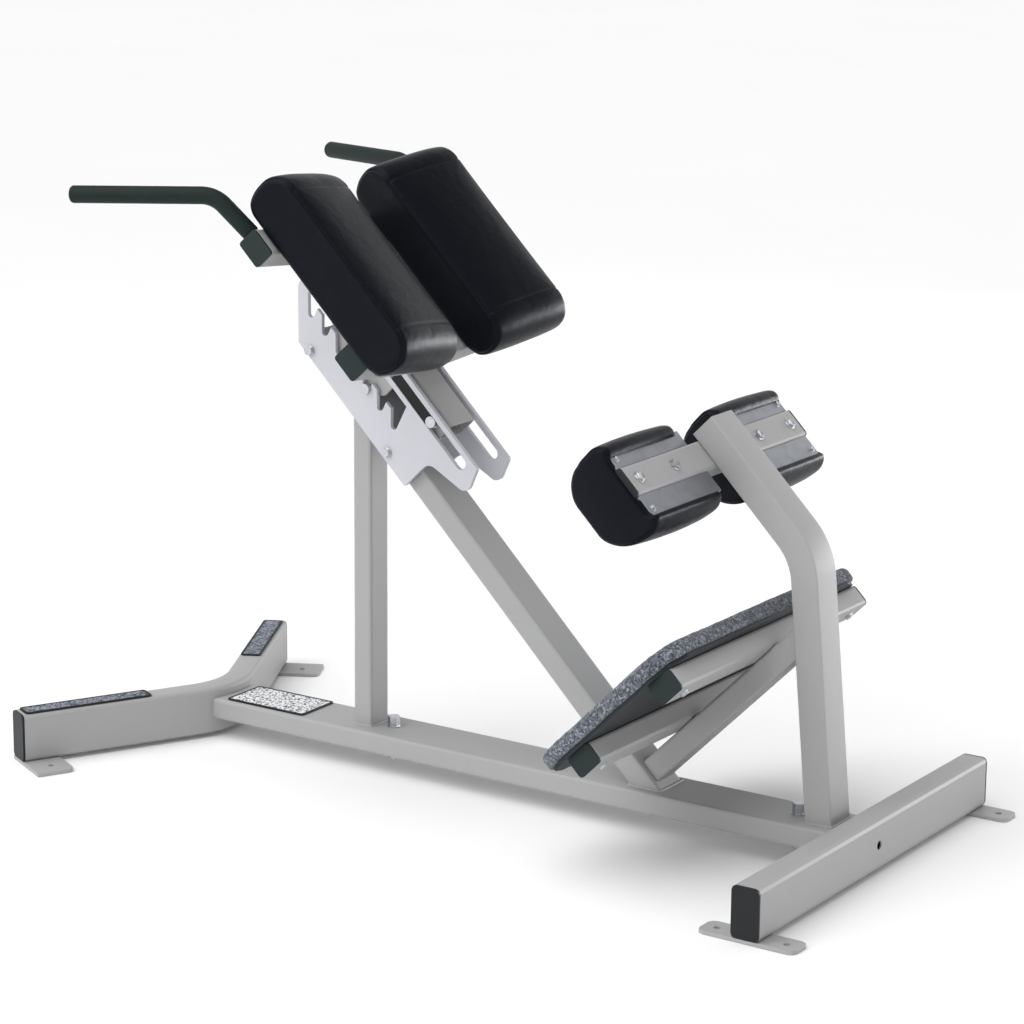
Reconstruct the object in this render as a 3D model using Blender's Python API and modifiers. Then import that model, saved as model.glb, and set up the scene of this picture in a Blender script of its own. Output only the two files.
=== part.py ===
"""Hyperextension bench: thigh pads on a carriage that slides down a notched 45 degree incline.

Metres, +Z up. X runs from the handles (-) to the foot end (+), Y across the bench, near side -Y.
The fixed frame is measured from the rear cross tube's front face, on the floor, at mid width. What
lies on the incline is measured in its own frame: U runs down the incline, V stands square on it.
"""

import math

import bmesh
import bpy
from mathutils import Matrix, Vector

# Clearances
GAP = 0.0003  # between two faces that touch
BORE_FIT = 0.0003  # round a pin or a bolt, on the radius
SLIDE_FIT = 0.0005  # between a sliding piece and its guide
MERGE = 0.00001
BEYOND = 2.0  # further than any piece of the bench reaches

# Base tubes and feet
BASE_W = 0.0508
BASE_H = 0.0889
BASE_R = 0.008
BASE_WALL = 0.003
FOOT_T = 0.00635
FOOT_L = 0.1778
FOOT_W = 0.0508
FOOT_R = 0.012
FOOT_HOLE_R = 0.006
FOOT_HOLE_SPACING = 0.127
REAR_HALF = 0.4086
REAR_SERVICE_HOLE_R = 0.008
CAP_T = 0.004
PLUG_L = 0.016
PLUG_FIT = 0.0005

# Front tube, bent to a V that opens forward
V_ANGLE = math.radians(27.4)
V_ARM = 0.433
V_BEND = 0.150
TAB_L = 0.072
TAB_REACH = 0.0746
TAB_HOLE_OUT = 0.038
TAB_HOLE_BACK = 0.040

# Grip strips
STRIP_T = 0.003
STRIP_R = 0.004
ARM_STRIP_L = 0.250
ARM_STRIP_W = 0.040
ARM_STRIP_GAP = 0.006
RAIL_STRIP_L = 0.179
RAIL_STRIP_W = 0.100
RAIL_STRIP_START = 1.306

# Main rail
RAIL_L = 1.302
RAIL_W = 0.115
RAIL_H = 0.040
RAIL_R = 0.006
RAIL_WALL = 0.003
RAIL_CLEAR = 0.036

# Uprights and the incline
INCLINE_ANGLE = math.radians(45)
INCLINE_X = 0.968
INCLINE_Z = 0.721
UPRIGHT_X = 1.0046
UPRIGHT_L = 0.0396
UPRIGHT_W = 0.055
UPRIGHT_R = 0.005
FRAME_WALL = 0.0025
DIAGONAL_W = 0.076
DIAGONAL_H = 0.045
DIAGONAL_R = 0.006
DIAGONAL_TOP_V = -0.0239
DIAGONAL_START_U = -0.150
POST_L = 0.0508
POST_W = 0.068
POST_R = 0.003
POST_X = 0.0743
POST_LEAN = math.radians(5.6)
POST_BEND = 0.120
POST_TOP_U = 0.4695

# Foot platform, in a frame that rises at 45 degrees: T up the board, N square to it
PLATFORM_ANGLE = math.radians(45)
PLATFORM_X = 0.1838
PLATFORM_Z = 0.3647
FOOT_TUBE_W = 0.054
FOOT_TUBE_H = 0.040
FOOT_TUBE_R = 0.006
FOOT_TUBE_HALF = 0.318
FOOT_TUBE_PITCH = 0.216
BRACE_W = 0.050
BRACE_H = 0.044
BRACE_R = 0.005
BOARD_T = 0.006
TREAD_T = 0.028
TREAD_R = 0.006
TREAD_LOW = 0.302
TREAD_HIGH = 0.050
TREAD_HALF = 0.334
TREAD_CORNER = 0.060
BOARD_INSET = 0.006

# Head plates with the slot and the notches
PLATE_T = 0.008
PLATE_INNER_Y = 0.046
PLATE_FRONT_REACH = 0.158  # in front of the incline's origin
PLATE_TOP_RISE = 0.179  # above the incline's origin
PLATE_BOTTOM_V = -0.067
PLATE_TOP_V = 0.081
PLATE_RIGHT_U = 0.177
PLATE_ARCH_V = 0.005
PLATE_NOSE = (0.270, 0.031)
PLATE_NOSE_TOP_U = 0.250
PLATE_EDGE_R = 0.004
PLATE_CORNER_R = 0.015
PLATE_ARCH_R = 0.022
PLATE_NOSE_R = 0.016
SLOT_V = 0.060
SLOT_W = 0.022
SLOT_START_U = -0.160
SLOT_END_U = 0.232
NOTCH_COUNT = 7
NOTCH_PITCH = 0.043
NOTCH_FIRST_U = -0.174
NOTCH_V = -0.007
NOTCH_R = 0.007
NOTCH_LEAN = math.radians(27)
NOTCH_TIP_V = 0.0166
WINDOW_TOP_V = 0.039
WINDOW_BORDER = 0.022  # between the window and the plate's level top
PIN_NOTCH = 4
SPACER_U = (-0.150, 0.150)
SPACER_V = (-0.066, -0.026)
SPACER_R = 0.003
HEAD_BOLT_PLACES = ((-0.129, -0.057), (0.109, -0.053))
HEAD_BOLT_R = 0.005

# Leg pads
LEG_BAR_U = 0.510
LEG_BAR_TOP_V = 0.4614
LEG_BAR_W = 0.056
LEG_BAR_H = 0.041
LEG_BAR_R = 0.005
LEG_BAR_HALF = 0.282
BRACKET_U = (0.452, 0.578)
BRACKET_Y = (0.060, 0.278)
BRACKET_WALL = 0.005
FLANGE_T = 0.010
FLANGE_RISE = 0.0044
LEG_PAD_U = (0.429, 0.598)
LEG_PAD_Y = (0.070, 0.286)
LEG_PAD_DEPTH = 0.106
LEG_PAD_BACK = 0.0064
LEG_PAD_END_CELL = 0.040
LEG_PAD_NARROWING = {-1: 0.08, 1: 0.24}  # at the front, of the upper and the lower side
LEG_PAD_BULGE = 0.08
LEG_PAD_CROWN = 0.03
LEG_PAD_END_CROWN = 0.010

# Carriage
PIVOT_U = 0.128
PIVOT_R = 0.006
STUB_R = 0.0105
STUB_T = 0.0047
BLOCK_U = 0.020
BLOCK_T = 0.0078
BLOCK_TAB_T = 0.0032
COLLAR_R = 0.012
BLOCK_PROUD = 0.0002
BLOCK_R = 0.002
RECESS_FIT = 0.0015
CARRIAGE_W = 0.076
CARRIAGE_H = 0.044
CARRIAGE_R = 0.006
CARRIAGE_WALL = 0.003
CARRIAGE_BOTTOM_V = 0.0363
CARRIAGE_U = (-0.270, 0.156)
PIN_R = 0.006
PIN_HEAD_R = 0.010
PIN_HEAD_T = 0.006
PIN_PLATE_T = 0.006
PIN_PLATE_REACH = 0.0844  # in front of the incline's origin
PIN_PLATE_BOTTOM_V = -0.014
PIN_PLATE_TOP_V = 0.062
PIN_PLATE_RIGHT_U = 0.030
PIN_PLATE_TOE = 0.022
PIN_PLATE_TOE_R = 0.010
PIN_PLATE_R = 0.004
CROSS_W = 0.055
CROSS_H = 0.041
CROSS_R = 0.005
CROSS_FLAT = 0.020
CROSS_TILT = math.radians(9)
LOWER_CROSS_U = 0.013
UPPER_CROSS_U = -0.242
LOWER_ARM = 0.232
UPPER_ARM = 0.268

# Handles
HANDLE_R = 0.0127
HANDLE_WALL = 0.0025
HANDLE_BEND = 0.060
HANDLE_START_Y = 0.265
HANDLE_KNEE = (-0.367, 0.280, 0.135)
HANDLE_TIP = (-0.535, 0.376, -0.0445)
GRIP_R = 0.0155
GRIP_START = 0.004
GRIP_END_T = 0.006
GRIP_NOSE = ((0.008, 1.0), (0.004, 0.92), (0.0015, 0.75), (0.0, 0.5))  # from the tip, of the radius

# Thigh pads, in the tilted frame of their cross tube arms
PAD_U = (-0.327, 0.082)
PAD_S = (0.051, 0.251)
PAD_TOP_N = 0.095
PAD_CROWN = 0.012
PAD_END_CROWN = 0.003
PAD_TOP_R = 0.047
PAD_LOW_R = 0.058
PAD_HIGH_LOW_R = 0.035
PAD_DRAW_IN = 0.004
PAD_UPPER_CELL = 0.075
PAD_LOWER_CELL = 0.095
PAD_BOTTOM_CELL = 0.030
PAD_TOP_CELL = 0.035
PAD_BOARD_T = 0.012
PAD_BOARD_INSET = 0.020
PAD_BOARD_R = 0.015

# Fasteners
BOLT_HEAD_K = 0.007
BOLT_WASHER_T = 0.0015
WASHER_TO_BOLT = 2.0
HEX_TO_BOLT = 1.75
RAIL_BOLT_X = (0.953, 0.104)
RAIL_BOLT_R = 0.0065
RAIL_BOLT_HEAD_K = 0.019

# Resolution
CORNER_STEP = math.radians(45)
FINE_STEP = math.radians(15)
BEND_STEP = math.radians(9)
SHARP_ANGLE = math.radians(50)
NOTCH_FACETS = 6
ROUND_SIDES = 20
BOLT_SIDES = 12
HEX_SIDES = 6

# Worked out from the sizes above
NEAR = -1
FAR = 1
SIDES = (("near", NEAR), ("far", FAR))
BASE_Z = FOOT_T + GAP
BASE_MID_Z = BASE_Z + BASE_H / 2
BASE_TOP_Z = BASE_Z + BASE_H
RAIL_TOP_Z = RAIL_CLEAR + RAIL_H
V_CORNER_X = -RAIL_L - BASE_W / 2 / math.cos(V_ANGLE)
V_TIP_X = V_CORNER_X - V_ARM * math.sin(V_ANGLE)
FRONT_X = V_TIP_X - BASE_W / 2 * math.cos(V_ANGLE)
REAR_X = BASE_W / 2 + FOOT_L / 2
DATUM_X = -(FRONT_X + REAR_X) / 2
PLATE_LEFT_X = INCLINE_X + PLATE_FRONT_REACH
PLATE_TOP_Z = INCLINE_Z + PLATE_TOP_RISE
WINDOW_TOP_Z = PLATE_TOP_Z - WINDOW_BORDER
PIN_PLATE_LEFT_X = INCLINE_X + PIN_PLATE_REACH
PLATE_OUTER_Y = PLATE_INNER_Y + PLATE_T
SIDE_GAP_Y = PLATE_INNER_Y - DIAGONAL_W / 2
PIVOT_V = SLOT_V
CARRIAGE_TOP_V = CARRIAGE_BOTTOM_V + CARRIAGE_H
CROSS_TOP_V = CARRIAGE_TOP_V + GAP + CROSS_H
POST_FRONT_V = LEG_BAR_TOP_V + GAP
PIN_U = NOTCH_FIRST_U + PIN_NOTCH * NOTCH_PITCH
PIN_DROP = NOTCH_R - PIN_R - BORE_FIT

FINISHES = {
    "frame_paint": ("A6A6A6", 0.42, 0.0),
    "plate_paint": ("CDCED3", 0.35, 0.0),
    "carriage_paint": ("A9A7A3", 0.40, 0.0),
    "cap_plastic": ("2A3A3A", 0.50, 0.0),
    "base_cap_plastic": ("2B2D31", 0.45, 0.0),
    "grip_rubber": ("26383A", 0.65, 0.0),
    "strip_rubber": ("4A4E57", 0.90, 0.0),
    "pad_vinyl": ("1D1F26", 0.38, 0.0),
    "board_wood": ("2C2B2B", 0.80, 0.0),
    "carpet": ("5A6170", 0.95, 0.0),
    "bracket_steel": ("B9BBBE", 0.35, 0.6),
    "chrome": ("C9CCD0", 0.15, 1.0),
    "block_plastic": ("17181A", 0.50, 0.0),
}

PLANES = {
    "XY": Matrix.Identity(4),
    "XZ": Matrix.Rotation(math.radians(90), 4, "X"),
    "YZ": Matrix(((0, 0, 1, 0), (1, 0, 0, 0), (0, 1, 0, 0), (0, 0, 0, 1))),
}


# Scene, finishes and nodes


def clear_scene():
    for thing in list(bpy.data.objects):
        bpy.data.objects.remove(thing, do_unlink=True)
    for collection in list(bpy.data.collections):
        bpy.data.collections.remove(collection)


def new_collection(name):
    collection = bpy.data.collections.new(name)
    bpy.context.scene.collection.children.link(collection)
    return collection


def linear(channel):
    if channel <= 0.04045:
        return channel / 12.92
    return ((channel + 0.055) / 1.055) ** 2.4


def new_material(name, finish):
    colour, roughness, metallic = FINISHES[finish]
    channels = [linear(int(colour[k : k + 2], 16) / 255) for k in (0, 2, 4)]
    material = bpy.data.materials.new(f"{name}_{finish}")
    material.use_nodes = True
    shader = material.node_tree.nodes["Principled BSDF"]
    shader.inputs["Base Color"].default_value = (*channels, 1)
    shader.inputs["Roughness"].default_value = roughness
    shader.inputs["Metallic"].default_value = metallic
    material.diffuse_color = (*channels, 1)
    return material


def node(name, mesh, finish, parent, location=(0, 0, 0), rotation=(0, 0, 0)):
    """One named piece of the bench, placed in its parent's frame."""
    piece = bpy.data.objects.new(name, mesh)
    mesh.name = name
    mesh.materials.append(new_material(name, finish))
    mesh.shade_smooth()
    mesh.set_sharp_from_angle(angle=SHARP_ANGLE)
    bpy.data.collections["hyperextension_bench"].objects.link(piece)
    piece.parent = parent
    piece.location = location
    piece.rotation_euler = rotation
    return piece


def tool(name, mesh, parent, location=(0, 0, 0), rotation=(0, 0, 0)):
    """A solid that only serves a Boolean."""
    shape = bpy.data.objects.new(name, mesh)
    bpy.data.collections["cutters"].objects.link(shape)
    shape.parent = parent
    shape.location = location
    shape.rotation_euler = rotation
    shape.display_type = "WIRE"
    shape.hide_render = True
    return shape


def boolean(piece, shape, operation):
    modifier = piece.modifiers.new(shape.name, "BOOLEAN")
    modifier.operation = operation
    modifier.solver = "EXACT"
    modifier.object = shape


def cut(piece, *shapes):
    for shape in shapes:
        boolean(piece, shape, "DIFFERENCE")


def fuse(piece, *shapes):
    for shape in shapes:
        boolean(piece, shape, "UNION")


def soften(piece, width, segments=2):
    bevel = piece.modifiers.new("edges", "BEVEL")
    bevel.width = width
    bevel.segments = segments
    bevel.limit_method = "ANGLE"
    bevel.angle_limit = SHARP_ANGLE


def empty(name, parent, location, rotation=(0, 0, 0)):
    frame = bpy.data.objects.new(name, None)
    bpy.context.scene.collection.objects.link(frame)
    frame.parent = parent
    frame.location = location
    frame.rotation_euler = rotation
    return frame


# Outlines and paths


def rounded(corners, closed=True, step=CORNER_STEP):
    """Points of an outline or path; each corner is its coordinates and then its radius."""
    places = [Vector(corner[:-1]) for corner in corners]
    points = []
    for index, corner in enumerate(corners):
        here = places[index]
        radius = corner[-1]
        if not radius or (not closed and index in (0, len(corners) - 1)):
            points.append(here)
            continue
        back = (places[index - 1] - here).normalized()
        ahead = (places[(index + 1) % len(corners)] - here).normalized()
        half = back.angle(ahead) / 2
        centre = here + (back + ahead).normalized() * radius / math.sin(half)
        first = here + back * radius / math.tan(half) - centre
        last = here + ahead * radius / math.tan(half) - centre
        turn = math.pi - 2 * half
        count = max(2, round(turn / step))
        for number in range(count + 1):
            share = number / count
            blend = first * math.sin((1 - share) * turn) + last * math.sin(share * turn)
            points.append(centre + blend / math.sin(turn))
    return [
        point
        for index, point in enumerate(points)
        if (point - points[index - 1]).length > MERGE
    ]


def inner_radius(radius, depth):
    """Corner radius of an outline that lies inside another by a depth."""
    return max(radius - depth, GAP)


def rectangle(width, height, radius=0, centre=(0, 0)):
    x, y = centre
    return rounded(
        (
            (x - width / 2, y - height / 2, radius),
            (x + width / 2, y - height / 2, radius),
            (x + width / 2, y + height / 2, radius),
            (x - width / 2, y + height / 2, radius),
        )
    )


def circle(radius, centre=(0, 0), sides=ROUND_SIDES):
    return [
        Vector(centre) + radius * Vector((math.cos(turn), math.sin(turn)))
        for turn in (math.tau * number / sides for number in range(sides))
    ]


def band(low, high, radius=0):
    """Rectangle between a pair of limits along each axis."""
    width = low[1] - low[0]
    height = high[1] - high[0]
    return rectangle(width, height, radius, (sum(low) / 2, sum(high) / 2))


# Meshes


def finished(curve, plane="XY"):
    """Closed mesh of a curve, turned from the XY plane into the plane asked for."""
    holder = bpy.data.objects.new("outline", curve)
    bpy.context.scene.collection.objects.link(holder)
    depsgraph = bpy.context.evaluated_depsgraph_get()
    mesh = bpy.data.meshes.new_from_object(holder.evaluated_get(depsgraph))
    bpy.data.objects.remove(holder)
    bpy.data.curves.remove(curve)
    body = bmesh.new()
    body.from_mesh(mesh)
    bmesh.ops.remove_doubles(body, verts=body.verts, dist=MERGE)
    bmesh.ops.recalc_face_normals(body, faces=body.faces)
    bmesh.ops.transform(body, matrix=PLANES[plane], verts=body.verts)
    body.to_mesh(mesh)
    body.free()
    return mesh


def add_spline(curve, points, cyclic):
    spline = curve.splines.new("POLY")
    spline.points.add(len(points) - 1)
    for target, place in zip(spline.points, points):
        target.co = (*Vector(place).to_3d(), 1)
    spline.use_cyclic_u = cyclic


def prism(loops, depth, plane="XY"):
    """Flat outline with its holes, given thickness about its own plane."""
    curve = bpy.data.curves.new("outline", "CURVE")
    curve.dimensions = "2D"
    curve.fill_mode = "BOTH"
    curve.extrude = depth / 2
    for loop in loops:
        add_spline(curve, loop, True)
    return finished(curve, plane)


def straight_tube(width, height, radius, wall, length, plane):
    """Rectangular tube, square to the plane of its section."""
    inner = rectangle(width - 2 * wall, height - 2 * wall, inner_radius(radius, wall))
    return prism((rectangle(width, height, radius), inner), length, plane)


def swept(path, section, plane="XY"):
    """Solid of a section swept along a flat path."""
    profile = bpy.data.curves.new("section", "CURVE")
    profile.dimensions = "2D"
    add_spline(profile, section, True)
    profile_holder = bpy.data.objects.new("section", profile)
    bpy.context.scene.collection.objects.link(profile_holder)
    curve = bpy.data.curves.new("path", "CURVE")
    curve.dimensions = "3D"
    curve.twist_mode = "Z_UP"
    curve.bevel_mode = "OBJECT"
    curve.bevel_object = profile_holder
    curve.use_fill_caps = True
    add_spline(curve, path, False)
    mesh = finished(curve, plane)
    bpy.data.objects.remove(profile_holder)
    bpy.data.curves.remove(profile)
    return mesh


def lengthened(path, extra):
    """The same path, with both ends drawn out straight."""
    first = path[0] + (path[0] - path[1]).normalized() * extra
    last = path[-1] + (path[-1] - path[-2]).normalized() * extra
    return [first, *path[1:-1], last]


def round_tube(path, radii):
    """Round bar along a path; radii has a radius for each point."""
    curve = bpy.data.curves.new("path", "CURVE")
    curve.dimensions = "3D"
    curve.bevel_depth = 1
    curve.bevel_resolution = 2
    curve.use_fill_caps = True
    add_spline(curve, path, False)
    for point, radius in zip(curve.splines[0].points, radii):
        point.radius = radius
    return finished(curve)


def box(x, y, z):
    """Box between three pairs of limits."""
    body = bmesh.new()
    bmesh.ops.create_cube(body, size=1)
    bmesh.ops.scale(body, vec=(x[1] - x[0], y[1] - y[0], z[1] - z[0]), verts=body.verts)
    bmesh.ops.translate(body, vec=(sum(x) / 2, sum(y) / 2, sum(z) / 2), verts=body.verts)
    mesh = bpy.data.meshes.new("box")
    body.to_mesh(mesh)
    body.free()
    return mesh


def bars(radius, low, high, places, sides=ROUND_SIDES):
    """Round or six-sided bars from low to high along Z, one at each place, in one mesh."""
    body = bmesh.new()
    for place in places:
        made = bmesh.ops.create_cone(
            body,
            cap_ends=True,
            segments=sides,
            radius1=radius,
            radius2=radius,
            depth=high - low,
            matrix=place @ Matrix.Translation((0, 0, (low + high) / 2)),
        )
        assert made["verts"]
    mesh = bpy.data.meshes.new("bars")
    body.to_mesh(mesh)
    body.free()
    return mesh


# Pieces of more than one assembly


def bolt(name, parent, place, radius, grip, head=BOLT_HEAD_K):
    """Bolt with washers and nut. The place's Z points out of the head, whose washer sits at Z 0."""
    seat = GAP
    end = -grip - GAP
    tail = end - BOLT_WASHER_T - head - radius / 2
    shank = bars(radius, tail, seat + BOLT_WASHER_T, [place], BOLT_SIDES)
    piece = node(name, shank, "chrome", parent)
    head_seat = seat + BOLT_WASHER_T / 2
    nut_seat = end - BOLT_WASHER_T / 2
    washer_r = WASHER_TO_BOLT * radius
    hex_r = HEX_TO_BOLT * radius
    rings = (
        ("washer", bars(washer_r, seat, seat + BOLT_WASHER_T, [place], BOLT_SIDES)),
        ("head", bars(hex_r, head_seat, head_seat + head, [place], HEX_SIDES)),
        ("nut_washer", bars(washer_r, end - BOLT_WASHER_T, end, [place], BOLT_SIDES)),
        ("nut", bars(hex_r, nut_seat - head, nut_seat, [place], HEX_SIDES)),
    )
    fuse(piece, *(tool(f"{name}_{ring}", mesh, parent) for ring, mesh in rings))
    return piece


def drill(pieces, name, parent, places, radius, low, high):
    """Clearance holes through pieces, along each place's Z."""
    shape = tool(name, bars(radius + BORE_FIT, low, high, places), parent)
    for piece in pieces:
        cut(piece, shape)


def cap(name, finish, parent, width, height, radius, wall, place):
    """Tube end cap: a flange on the tube's end and a plug in it. The place's Y points outward."""
    flange = prism([rectangle(width, height, radius)], CAP_T, "XZ")
    flange.transform(place @ Matrix.Translation((0, CAP_T / 2, 0)))
    depth = wall + PLUG_FIT
    plug_outline = rectangle(width - 2 * depth, height - 2 * depth, inner_radius(radius, depth))
    plug_l = PLUG_L + CAP_T / 2
    plug = prism([plug_outline], plug_l, "XZ")
    plug.transform(place @ Matrix.Translation((0, CAP_T / 2 - plug_l / 2, 0)))
    piece = node(name, flange, finish, parent)
    fuse(piece, tool(f"{name}_plug", plug, parent))
    return piece


def facing(side):
    """Turn about Z that points Y outward on one side."""
    return Matrix.Rotation(0 if side == FAR else math.pi, 4, "Z")


# Base


def rail_cope(base, path):
    """Solid of the front tube, a gap larger all round."""
    outline = rectangle(BASE_W + 2 * GAP, BASE_H + 2 * GAP, BASE_R)
    return tool("rail_cope", swept(path, outline), base, (0, 0, BASE_MID_Z))


def front_base(base):
    tube_arm = V_ARM - CAP_T - GAP
    end_x = V_CORNER_X - tube_arm * math.sin(V_ANGLE)
    end_y = tube_arm * math.cos(V_ANGLE)
    corners = ((end_x, -end_y, 0), (V_CORNER_X, 0, V_BEND), (end_x, end_y, 0))
    path = rounded(corners, closed=False, step=BEND_STEP)
    outer = swept(path, rectangle(BASE_W, BASE_H, BASE_R))
    tube = node("front_base_tube", outer, "frame_paint", base, (0, 0, BASE_MID_Z))
    bore = rectangle(BASE_W - 2 * BASE_WALL, BASE_H - 2 * BASE_WALL, BASE_R - BASE_WALL)
    hollow = swept(lengthened(path, CAP_T), bore)
    cut(tube, tool("front_base_bore", hollow, base, (0, 0, BASE_MID_Z)))
    for name, side in SIDES:
        turn = V_ANGLE if side == FAR else math.pi - V_ANGLE
        inner_x = end_x - GAP * math.sin(V_ANGLE)
        inner_y = end_y + GAP * math.cos(V_ANGLE)
        arm = empty(f"front_arm_{name}", base, (inner_x, side * inner_y, 0), (0, 0, turn))
        front_arm(arm, name, side)
    return path


def front_arm(arm, name, side):
    """Cap, foot and grip strip at one end of the front tube. Y runs outward along the arm."""
    size = (BASE_W, BASE_H, BASE_R, BASE_WALL)
    place = Matrix.Translation((0, 0, BASE_MID_Z))
    cap(f"front_cap_{name}", "base_cap_plastic", arm, *size, place)
    inner_x = -side * BASE_W / 2
    outer_x = side * (BASE_W / 2 + TAB_REACH)
    outline = rounded(
        (
            (inner_x, CAP_T, 0),
            (inner_x, CAP_T - TAB_L, 0),
            (outer_x, CAP_T - TAB_L, FOOT_R),
            (outer_x, CAP_T, 0),
        )
    )
    hole = circle(FOOT_HOLE_R, (side * (BASE_W / 2 + TAB_HOLE_OUT), CAP_T - TAB_HOLE_BACK))
    plate = prism((outline, hole), FOOT_T)
    node(f"front_foot_{name}", plate, "frame_paint", arm, (0, 0, FOOT_T / 2))
    strip = prism([rectangle(ARM_STRIP_W, ARM_STRIP_L, STRIP_R)], STRIP_T)
    strip_y = -ARM_STRIP_GAP - ARM_STRIP_L / 2
    strip_z = BASE_TOP_Z + GAP + STRIP_T / 2
    node(f"arm_grip_{name}", strip, "strip_rubber", arm, (0, strip_y, strip_z))


def rear_base(base):
    mid_x = BASE_W / 2
    tube_half = REAR_HALF - CAP_T - GAP
    tube = straight_tube(BASE_W, BASE_H, BASE_R, BASE_WALL, 2 * tube_half, "XZ")
    tube = node("rear_cross_tube", tube, "frame_paint", base, (mid_x, 0, BASE_MID_Z))
    along_x = Matrix.Translation((BASE_W, 0, BASE_MID_Z)) @ Matrix.Rotation(math.pi / 2, 4, "Y")
    hole = bars(REAR_SERVICE_HOLE_R, -BASE_W / 2, BASE_WALL, [along_x])
    cut(tube, tool("rear_service_hole", hole, base))
    for name, side in SIDES:
        place = Matrix.Translation((mid_x, side * (REAR_HALF - CAP_T), BASE_MID_Z))
        size = (BASE_W, BASE_H, BASE_R, BASE_WALL)
        cap(f"rear_cap_{name}", "base_cap_plastic", base, *size, place @ facing(side))
        holes = [circle(FOOT_HOLE_R, (end * FOOT_HOLE_SPACING / 2, 0)) for end in (-1, 1)]
        foot = prism((rectangle(FOOT_L, FOOT_W, FOOT_R), *holes), FOOT_T)
        foot_y = side * (REAR_HALF - FOOT_W / 2)
        node(f"rear_foot_{name}", foot, "frame_paint", base, (mid_x, foot_y, FOOT_T / 2))


def main_rail(base, front_path):
    start = V_CORNER_X - BASE_W / 2
    length = -GAP - start
    tube = straight_tube(RAIL_W, RAIL_H, RAIL_R, RAIL_WALL, length, "YZ")
    rail_z = RAIL_CLEAR + RAIL_H / 2
    rail = node("main_rail", tube, "frame_paint", base, (start + length / 2, 0, rail_z))
    cut(rail, rail_cope(base, front_path))
    strip = prism([rectangle(RAIL_STRIP_L, RAIL_STRIP_W, STRIP_R)], STRIP_T)
    strip_x = -RAIL_STRIP_START + RAIL_STRIP_L / 2
    strip_z = RAIL_TOP_Z + GAP + STRIP_T / 2
    node("rail_grip_strip", strip, "strip_rubber", base, (strip_x, 0, strip_z))
    places = [Matrix.Translation((-x, 0, RAIL_TOP_Z)) for x in RAIL_BOLT_X]
    for name, place in zip(("front", "rear"), places):
        bolt(f"rail_bolt_{name}", base, place, RAIL_BOLT_R, RAIL_H, RAIL_BOLT_HEAD_K)
    drill([rail], "rail_bolt_holes", base, places, RAIL_BOLT_R, -2 * RAIL_H, RAIL_H)


def uprights(base, incline):
    """Front upright, main diagonal and rear post, each cut to the face that it meets."""
    height = INCLINE_Z
    tube = straight_tube(UPRIGHT_L, UPRIGHT_W, UPRIGHT_R, FRAME_WALL, height, "XY")
    place = (-UPRIGHT_X, 0, RAIL_TOP_Z + GAP + height / 2)
    upright = node("front_upright", tube, "frame_paint", base, place)
    under = DIAGONAL_TOP_V - DIAGONAL_H - GAP
    above = box((-BEYOND, BEYOND), (-DIAGONAL_W, DIAGONAL_W), (under, BEYOND))
    cut(upright, tool("upright_top_cut", above, incline))

    length = INCLINE_Z / math.sin(INCLINE_ANGLE) - DIAGONAL_START_U
    tube = straight_tube(DIAGONAL_W, DIAGONAL_H, DIAGONAL_R, BASE_WALL, length, "YZ")
    place = (DIAGONAL_START_U + length / 2, 0, DIAGONAL_TOP_V - DIAGONAL_H / 2)
    diagonal = node("main_diagonal", tube, "frame_paint", incline, place)
    floor = box((-BEYOND, BEYOND), (-RAIL_W, RAIL_W), (-BEYOND, RAIL_TOP_Z + GAP))
    rail_top_cut = tool("rail_top_cut", floor, base)
    cut(diagonal, rail_top_cut)

    lean = Vector((-math.sin(POST_LEAN), math.cos(POST_LEAN)))
    square = Vector((lean.y, -lean.x))
    foot = Vector((-POST_X, RAIL_TOP_Z)) + square * POST_L / 2
    top = incline_point(POST_TOP_U, POST_FRONT_V + POST_L / 2)
    down = Vector((math.cos(INCLINE_ANGLE), -math.sin(INCLINE_ANGLE)))
    corner = crossing(foot, lean, top, down)
    corners = ((*(foot - lean * POST_L), 0), (*corner, POST_BEND), (*top, 0))
    path = rounded(corners, closed=False, step=BEND_STEP)
    solid = swept(path, rectangle(POST_L, POST_W, POST_R), "XZ")
    post = node("rear_post", solid, "frame_paint", base)
    bore_r = inner_radius(POST_R, FRAME_WALL)
    inner = rectangle(POST_L - 2 * FRAME_WALL, POST_W - 2 * FRAME_WALL, bore_r)
    cut(post, tool("rear_post_bore", swept(lengthened(path, CAP_T), inner, "XZ"), base))
    cut(post, rail_top_cut)
    return diagonal


def incline_point(u, v):
    """Place on the incline, in the base's X and Z."""
    along = Vector((math.cos(INCLINE_ANGLE), -math.sin(INCLINE_ANGLE)))
    square = Vector((math.sin(INCLINE_ANGLE), math.cos(INCLINE_ANGLE)))
    return Vector((-INCLINE_X, INCLINE_Z)) + u * along + v * square


def on_incline(x, z):
    """Place given in the base's X and Z, as U and V."""
    offset = Vector((x + INCLINE_X, z - INCLINE_Z))
    along = Vector((math.cos(INCLINE_ANGLE), -math.sin(INCLINE_ANGLE)))
    square = Vector((math.sin(INCLINE_ANGLE), math.cos(INCLINE_ANGLE)))
    return Vector((offset.dot(along), offset.dot(square)))


def crossing(first, first_way, second, second_way):
    """Point where two lines in a plane meet."""
    offset = second - first
    spread = first_way.cross(second_way)
    return first + first_way * (offset.cross(second_way) / spread)


# Foot platform


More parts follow.
